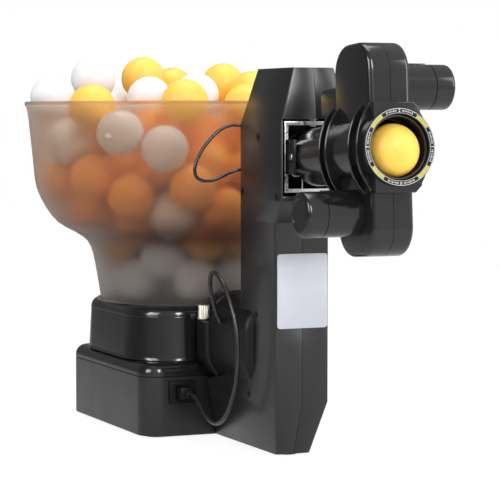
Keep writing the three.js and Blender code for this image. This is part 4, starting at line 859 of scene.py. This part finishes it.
def add_barrel():
    turned_on_head("head_barrel", BARREL)
    for number, start in enumerate(RIB_STARTS):
        end = start + RIB_THICKNESS
        rows = [(RIB_EDGE, start), (0, start + RIB_EDGE), (0, end - RIB_EDGE), (RIB_EDGE, end)]
        flange(f"head_rib_{number + 1}", rows, RIB_HOLE)


MOUTH_HALF_WIDTH, MOUTH_HALF_HEIGHT, MOUTH_CHAMFER, MOUTH_ROUNDING = 19, 33, 5, 0.8
MOUTH_ROUND = [(24, MOUTH_START), (27, MOUTH_START), (27, MOUTH_FRONT - 0.6), (26.4, MOUTH_FRONT),
               (24, MOUTH_FRONT)]
MOUTH_FLANGE = [(0, MOUTH_START), (0, MOUTH_START + 1.8), (0.4, MOUTH_START + 2.2)]
MOUTH_FLANGE_HOLE = 26.8
MUZZLE = [(22.2, 114.5), (23.7, 114.5), (23.7, MOUTH_FRONT - 0.3), (23.4, MOUTH_FRONT), (22.5, MOUTH_FRONT),
          (22.2, MOUTH_FRONT - 0.3)]


def mouth_outline(inset):
    """The mouth block's outline, with its two corners on the right cut off."""
    w, h = MOUTH_HALF_WIDTH - inset, MOUTH_HALF_HEIGHT - inset
    c = MOUTH_CHAMFER
    return [(w, -h + c), (w, h - c), (w - c, h), (-w, h), (-w, -h), (w - c, -h)]


def add_mouth():
    """The mouth block, the round and the flange behind the dial, and the muzzle's lining."""
    loops = rounded_plate(mouth_outline, MOUTH_START, MOUTH_FRONT, MOUTH_ROUNDING, facing, 3)
    block = mesh_object("mouth", *skin(loops))
    dress(cut(block, [bore(BORE_RADIUS, 110, 140)]), black, "head")
    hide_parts("mouth_frame")
    turned_on_head("mouth_round", MOUTH_ROUND)
    flange("mouth_flange", MOUTH_FLANGE, MOUTH_FLANGE_HOLE, MOUTH_HALF_HEIGHT, smooth=30)
    muzzle = turned_on_head("muzzle_lining", MUZZLE, lining_black, "inner_black")
    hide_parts("muzzle_tube")


DIAL = [(24, DIAL_START), (28, DIAL_START), (28.6, DIAL_START + 0.6), (28.6, DIAL_FRONT - 0.5),
        (28.1, DIAL_FRONT), (24.5, DIAL_FRONT), (24, DIAL_FRONT - 0.5)]

# Marks on the dial, in millimetres and degrees: two thin rings, and the ticks and stripes of each quarter
THIN_RINGS = [(27.75, 28.05), (24.55, 24.75)]
SCALE_RADIUS, TICK_STEP, TICK_WIDTH = 26.3, 2.6, 1.0
SHORT_TICK, LONG_TICK = 0.5, 0.9
STRIPE_RADII, HALF_STRIPE, STRIPE_SPREAD = (25.6, 26.9), 0.38, 26
MARK_LOW, MARK_HIGH, MARK_STEP = 0.01, 0.06, 1.5
NUMBER_SIZE, NUMBER_HALF_DEPTH, NUMBER_LIFT = 3.6, 0.03, 0.05


def arc_mark(inner, outer, middle, spread):
    """Verts and faces of a flat printed mark on the dial, between two radii, round an angle in degrees."""
    steps = max(2, int(spread / MARK_STEP))
    angles = [math.radians(middle + spread * (i / steps - 0.5)) for i in range(steps + 1)]
    verts = []
    corners = ((inner, MARK_LOW), (outer, MARK_LOW), (outer, MARK_HIGH), (inner, MARK_HIGH))
    for radius, lift in corners:
        verts += [facing(radius * math.cos(a), radius * math.sin(a), DIAL_FRONT + lift) for a in angles]
    count = len(angles)
    faces = []
    for k in range(4):
        n = (k + 1) % 4
        faces += [(k * count + i, k * count + i + 1, n * count + i + 1, n * count + i)
                  for i in range(count - 1)]
    faces += [(0, count, 2 * count, 3 * count), tuple(k * count + count - 1 for k in (3, 2, 1, 0))]
    return verts, faces


def add_marks(name, marks, material):
    verts, faces = [], []
    for some, some_faces in marks:
        faces += [tuple(i + len(verts) for i in face) for face in some_faces]
        verts += some
    piece(name, verts, faces, material, "head", "dial_black", 30)


def add_dial():
    """The dial with its thin rings, ticks, stripes and a plain number in each quarter."""
    dial = turned_on_head("dial", DIAL, dial_face, "dial_black", segments=FINE_SEGMENTS)
    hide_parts("dial_ring")
    white = [arc_mark(inner, outer, 0, 360) for inner, outer in THIN_RINGS]
    yellow = []
    for middle in (0, 90, 180, 270):
        for tick in [*range(-9, -1), *range(2, 10)]:
            half, place = SHORT_TICK if tick % 3 else LONG_TICK, middle + tick * TICK_STEP
            white.append(arc_mark(SCALE_RADIUS - half, SCALE_RADIUS + half, place, TICK_WIDTH))
        for radius in STRIPE_RADII:
            yellow.append(arc_mark(radius - HALF_STRIPE, radius + HALF_STRIPE, middle + 45, STRIPE_SPREAD))
    add_marks("dial_white", white, marks_white)
    add_marks("dial_yellow", yellow, marks_yellow)
    for quarter in range(4):
        add_number(str(quarter + 1), quarter * 90)


def number_mesh(digit):
    curve = bpy.data.curves.new("number", "FONT")
    curve.body = digit
    curve.size = NUMBER_SIZE * MM
    curve.extrude = NUMBER_HALF_DEPTH * MM
    curve.align_x = "CENTER"
    curve.align_y = "CENTER"
    text = add_object("number", curve)
    graph = bpy.context.evaluated_depsgraph_get()
    graph.update()
    mesh = bpy.data.meshes.new_from_object(text.evaluated_get(graph))
    bpy.data.objects.remove(text, do_unlink=True)
    return mesh


def add_number(digit, angle):
    """A plain number on the dial, with its foot towards the ring's middle."""
    mesh = number_mesh(digit)
    turn = math.radians(angle)
    across = Vector((1, 0, 0))
    radial = across * math.cos(turn) + UP * math.sin(turn)
    flat = across * math.sin(turn) - UP * math.cos(turn)
    turned_to = Matrix((flat, radial, flat.cross(radial))).transposed().to_4x4()
    centre = (head_point(0, DIAL_FRONT + NUMBER_LIFT, 0) + radial * SCALE_RADIUS) * MM
    mesh.transform(Matrix.Translation(centre) @ turned_to)
    dress(add_object(f"dial_number_{digit}", mesh), marks_white, "head")


CASE_START, CASE_END, CASE_RADIUS, CASE_ROUNDING = 17.3, 62.3, 17, 3
CASE_SEAM, CASE_GROOVE = CASE_END - 16, 0.7
CASE_OPEN = [(15, CASE_START), (CASE_RADIUS, CASE_START), (CASE_RADIUS, CASE_SEAM - CASE_GROOVE),
             (CASE_RADIUS - CASE_GROOVE, CASE_SEAM - CASE_GROOVE), (CASE_RADIUS - CASE_GROOVE, CASE_SEAM),
             (CASE_RADIUS, CASE_SEAM)]
CASE_CAP = [(12, CASE_END), (11.6, CASE_END - 0.5), (0, CASE_END - 0.5), (0, CASE_END - 2),
            (15, CASE_END - 2)]
case_rib_outline = outline_of(-2.2, 2.2, 14, 17.7, 0.6, 4, same_corner=True)


def add_motor_case(side, label):
    """The case of a wheel motor: a can with a groove before its rounded cap, and a flat rib along it."""
    def along_motor(p, q, depth):
        return tuple(head_point(side * depth, WHEEL_AHEAD + p, side * WHEEL_UP + q))

    edge = [(CASE_RADIUS - CASE_ROUNDING * (1 - math.cos(a)), CASE_END - CASE_ROUNDING * (1 - math.sin(a)))
            for a in quarter_turn(6)]
    case = turned(f"{label}_case", CASE_OPEN + edge + CASE_CAP, head_point(0, WHEEL_AHEAD, side * WHEEL_UP),
                  (side, 0, 0), black, "head", "shell_black")
    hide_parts(f"{label}_motor_case")
    rib = rounded_plate(case_rib_outline, CASE_START, CASE_SEAM - 2, 0.4, along_motor, 3)
    piece(f"{label}_case_rib", *skin(rib), black, "head", "shell_black", 30)


SLEEVE = [(20.6, -3), (22.4, -3), (23, -2.4), (23, 54), (26, 54), (26, 58), (23, 58), (23, 63.6),
          (20.6, 63.6)]
SLEEVE_PIN = [(0, 22.6), (2.5, 22.6), (2.5, 25.7), (2.2, 26), (0, 26)]


def add_sleeve():
    """The tilt sleeve with its collar and pivot pins."""
    sleeve = turned_on_head("sleeve", SLEEVE, body="tilt")
    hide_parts("tilt_sleeve")
    for side, label in ((-1, "left"), (1, "right")):
        turned(f"sleeve_pin_{label}", SLEEVE_PIN, TILT_AXIS, (side, 0, 0), steel, "tilt", "steel", 32)


add_housing()
add_barrel()
add_mouth()
add_dial()
add_motor_case(1, "upper")
add_motor_case(-1, "lower")
add_sleeve()

# Sunk screws: profiles of the low round lip and of the domed head, as shares of the radius and as heights
SCREW_RADIUS = 3.1
SCREW_LIP = [(0.7, -0.6), (1, -0.6), (1, 0.1), (0.95, 0.25), (0.8, 0.25), (0.7, 0.1)]
SCREW_HEAD = [(0, -0.6), (0.62, -0.6), (0.62, -0.1), (0.45, 0.06), (0, 0.1)]

# Screws on both sides of the column: name, distance from the middle, then Y and Z
COLUMN_SCREWS = [
    ("cabin", 31.0, -226.0, 258.0), ("front", 31.0, -262.5, 211.5), ("hip", 31.0, -194.0, 214.0),
    ("neck", 23.6, -205.0, 114.0), ("foot", 23.6, -190.0, 47.5),
]


def add_screw(name, place, axis):
    lip = [(SCREW_RADIUS * share, height) for share, height in SCREW_LIP]
    head = [(SCREW_RADIUS * share, height) for share, height in SCREW_HEAD]
    turned(name + "_lip", lip, place, axis, matt_black, "base", "inner_black", 40)
    # The head wears the almost lightless black: painted shade of its recess
    turned(name, head, place, axis, screw_painted_shade, "base", "steel", 32)


def add_column_screws():
    for name, half, y, z in COLUMN_SCREWS:
        for side, label in ((-1, "left"), (1, "right")):
            add_screw(f"column_screw_{name}_{label}", (side * half, y, z), (side, 0, 0))


add_column_screws()

# The spring clip and the thin wire in the cabin's window: name, radius and points
WINDOW_WIRES = [
    ("frame_clip", 0.55, [
        (-20.5, -268.2, 230), (-20.5, -268.2, 253), (-19, -268.2, 255.2), (-16, -268.2, 255.2),
        (-14.2, -268.2, 253), (-14.2, -268.2, 230), (-16, -268.2, 228), (-19, -268.2, 228),
        (-20.5, -268.2, 230)]),
    ("frame_wire", 0.5, [
        (-14.6, -268.6, 246), (-13.9, -269.4, 238), (-12.6, -269.8, 228), (-12.4, -269.6, 219),
        (-12.8, -268.6, 215.4)]),
]


def add_window_wires():
    for name, radius, points in WINDOW_WIRES:
        round_line(name, catmull(points, LINE_STEPS), radius, zinc, "swing")


add_window_wires()

# Materials of the CAD nodes that stay in sight, by their slot in the record
SLOT_MATERIALS = {
    "shell_black": black, "inner_black": matt_black, "rubber_pad": rubber, "plate_grey": blank_plate(),
    "board_green": circuit_board(), "tyre_rubber": tyre, "nylon_white": nylon, "nickel": nickel,
    "zinc_sheet": zinc, "steel": steel,
}

# Widths of their rounded edges; the others stay sharp
EDGES = {
    "column_shell_left": 1.2, "column_shell_right": 1.2, "column_plate": 0.5, "swing_frame": 0.3,
    "clamp_screw": 0.25, "lead_plug": 0.6, "lead_socket": 0.5, "swing_sector": 0.15,
    "swing_pinion": 0.15, "feed_rotor": 0.6, "upper_wheel_tyre": 0.4, "lower_wheel_tyre": 0.4,
    "upper_wheel_hub": 0.3, "lower_wheel_hub": 0.3,
}
EDGE_ANGLE = math.radians(32)
FACET_ANGLE = math.radians(0.4)
WELD_DISTANCE = 2e-6

# What stands ahead of this Y on the swing frame is the ears that carry the sleeve, in metres
EAR_START = -0.2668


def soften(obj, width):
    """Joins the facets of a carried-over solid, rounds its real edges and shades it smooth."""
    normals = obj.data.attributes.get("custom_normal")
    if normals:
        obj.data.attributes.remove(normals)
    obj.data.polygons.foreach_set("use_smooth", [True] * len(obj.data.polygons))
    obj.modifiers.new("weld", "WELD").merge_threshold = WELD_DISTANCE
    flat = obj.modifiers.new("flat", "DECIMATE")
    flat.decimate_type = "DISSOLVE"
    flat.angle_limit = FACET_ANGLE
    if width:
        edge = obj.modifiers.new("edge", "BEVEL")
        edge.width = width * MM
        edge.segments = 2
        edge.limit_method = "ANGLE"
        edge.angle_limit = EDGE_ANGLE
        edge.use_clamp_overlap = True
    obj.modifiers.new("split", "EDGE_SPLIT").split_angle = EDGE_ANGLE


def blacken_ears(obj):
    """The two ears of the swing frame that carry the sleeve are blackened."""
    obj.data.materials.append(blackened)
    for face in obj.data.polygons:
        if (obj.matrix_world @ face.center).y < EAR_START:
            face.material_index = 1


def finish_nodes():
    slots = {part["node"]: part["material_slot"] for part in frame["record"]["subparts"]}
    for name, obj in nodes.items():
        if obj.hide_render:
            continue
        satin = name.startswith("column_shell")
        set_material(obj, satin_black if satin else SLOT_MATERIALS[slots[name]])
        if name == "swing_frame":
            blacken_ears(obj)
        soften(obj, EDGES.get(name, 0))


finish_nodes()

# The floor: half its size in metres, its colour, and how far its own light covers that colour
FLOOR_REACH = 1.6
FLOOR_COLOUR = (0.93, 0.93, 0.93, 1)
FLOOR_GLOW_SHARE = 0.78
FLOOR_STRENGTH = 1.12

# The floor's strength in reflections along a direction: at both ends, and the distances of those in metres
FLOOR_WAY = (0.4, -0.92, 0)
FLOOR_GLOSS = (0.36, 1.12, -0.5, 0.6)

# The world's strength: on surfaces, in reflections along a direction at both ends, and those ends
WORLD_STRENGTH = 0.6
WORLD_WAY = (0.55, -0.8, 0.25)
WORLD_GLOSS = (0.18, 1.0, -0.6, 0.9)


def floor_material():
    """White to the camera and through glass, dimmer in reflections, and plain pale to all other light."""
    m = new_material("floor_white")
    m.put(m.shader, Base_Color=FLOOR_COLOUR, Roughness=0.9, Specular_IOR_Level=0.0)
    path = m.add("ShaderNodeLightPath").outputs
    gloss = m.ramp(m.along("Object", FLOOR_WAY), *FLOOR_GLOSS)
    strength = m.mix(path["Is Glossy Ray"], FLOOR_STRENGTH, gloss)
    glow = m.put(m.add("ShaderNodeEmission"), Strength=strength)
    seen = m.maths("MAXIMUM", path["Is Camera Ray"], path["Is Glossy Ray"])
    seen = m.maths("MAXIMUM", seen, path["Is Transmission Ray"])
    mix = m.put(m.add("ShaderNodeMixShader"), Fac=m.maths("MULTIPLY", seen, FLOOR_GLOW_SHARE))
    m.feed(mix.inputs[1], m.shader.outputs["BSDF"])
    m.feed(mix.inputs[2], glow.outputs["Emission"])
    m.put(m.tree.nodes["Material Output"], Surface=mix.outputs["Shader"])
    return m.owner


def add_floor():
    reach = FLOOR_REACH
    corners = [(-reach, -reach, 0), (reach, -reach, 0), (reach, reach, 0), (-reach, reach, 0)]
    mesh = bpy.data.meshes.new("floor")
    mesh.from_pydata(corners, [], [(0, 1, 2, 3)])
    floor = add_object("floor", mesh)
    set_material(floor, floor_material())


def add_world():
    """White to the camera and through glass; in reflections brighter at the front right than behind."""
    world = bpy.data.worlds.new("world")
    bpy.context.scene.world = world
    m = Nodes(world)
    path = m.add("ShaderNodeLightPath").outputs
    clear = m.maths("MAXIMUM", path["Is Camera Ray"], path["Is Transmission Ray"])
    gloss = m.ramp(m.along("Generated", WORLD_WAY), *WORLD_GLOSS, interpolation_type="SMOOTHSTEP")
    strength = m.mix(path["Is Glossy Ray"], WORLD_STRENGTH, gloss)
    m.put(m.tree.nodes["Background"], Color=(1, 1, 1, 1), Strength=m.mix(clear, strength, 1.0))


# Lamps: name, place and aim in metres, width and height, power, and whether only gloss shows them
LOW_AIM, RIGHT_AIM, TOP_AIM = (0, -0.1, 0.15), (0, -0.2, 0.15), (0, -0.1, 0.2)
LAMPS = [
    ("left_box", (-2.3, -0.95, 1.3), LOW_AIM, (1.1, 1.3), 40, True),
    ("front_box", (-0.12, -2.5, 1.6), LOW_AIM, (0.7, 1.2), 26, True),
    ("left_fill", (-2.3, -0.55, 1.25), LOW_AIM, (0.35, 1.5), 12, False),
    ("front_fill", (-0.25, -2.5, 1.5), LOW_AIM, (0.4, 1.4), 28, False),
    ("right_fill", (1.9, -1.7, 1.2), RIGHT_AIM, (1.0, 1.6), 28, False),
    ("top", (0.1, 0.2, 2.3), TOP_AIM, (1.4, 1.4), 24, False),
]


def area_light(name, place, aim, size, power, gloss_only):
    data = bpy.data.lights.new(name, "AREA")
    data.shape = "RECTANGLE"
    data.size, data.size_y = size
    data.energy = power
    lamp = add_object(name, data)
    lamp.location = place
    lamp.rotation_euler = (Vector(aim) - Vector(place)).to_track_quat("-Z", "Y").to_euler()
    if gloss_only:
        lamp.visible_diffuse = False
        lamp.visible_transmission = False


def add_lamps():
    for lamp in LAMPS:
        area_light(*lamp)


add_floor()
add_world()
add_lamps()
bpy.context.scene.view_settings.view_transform = "Standard"
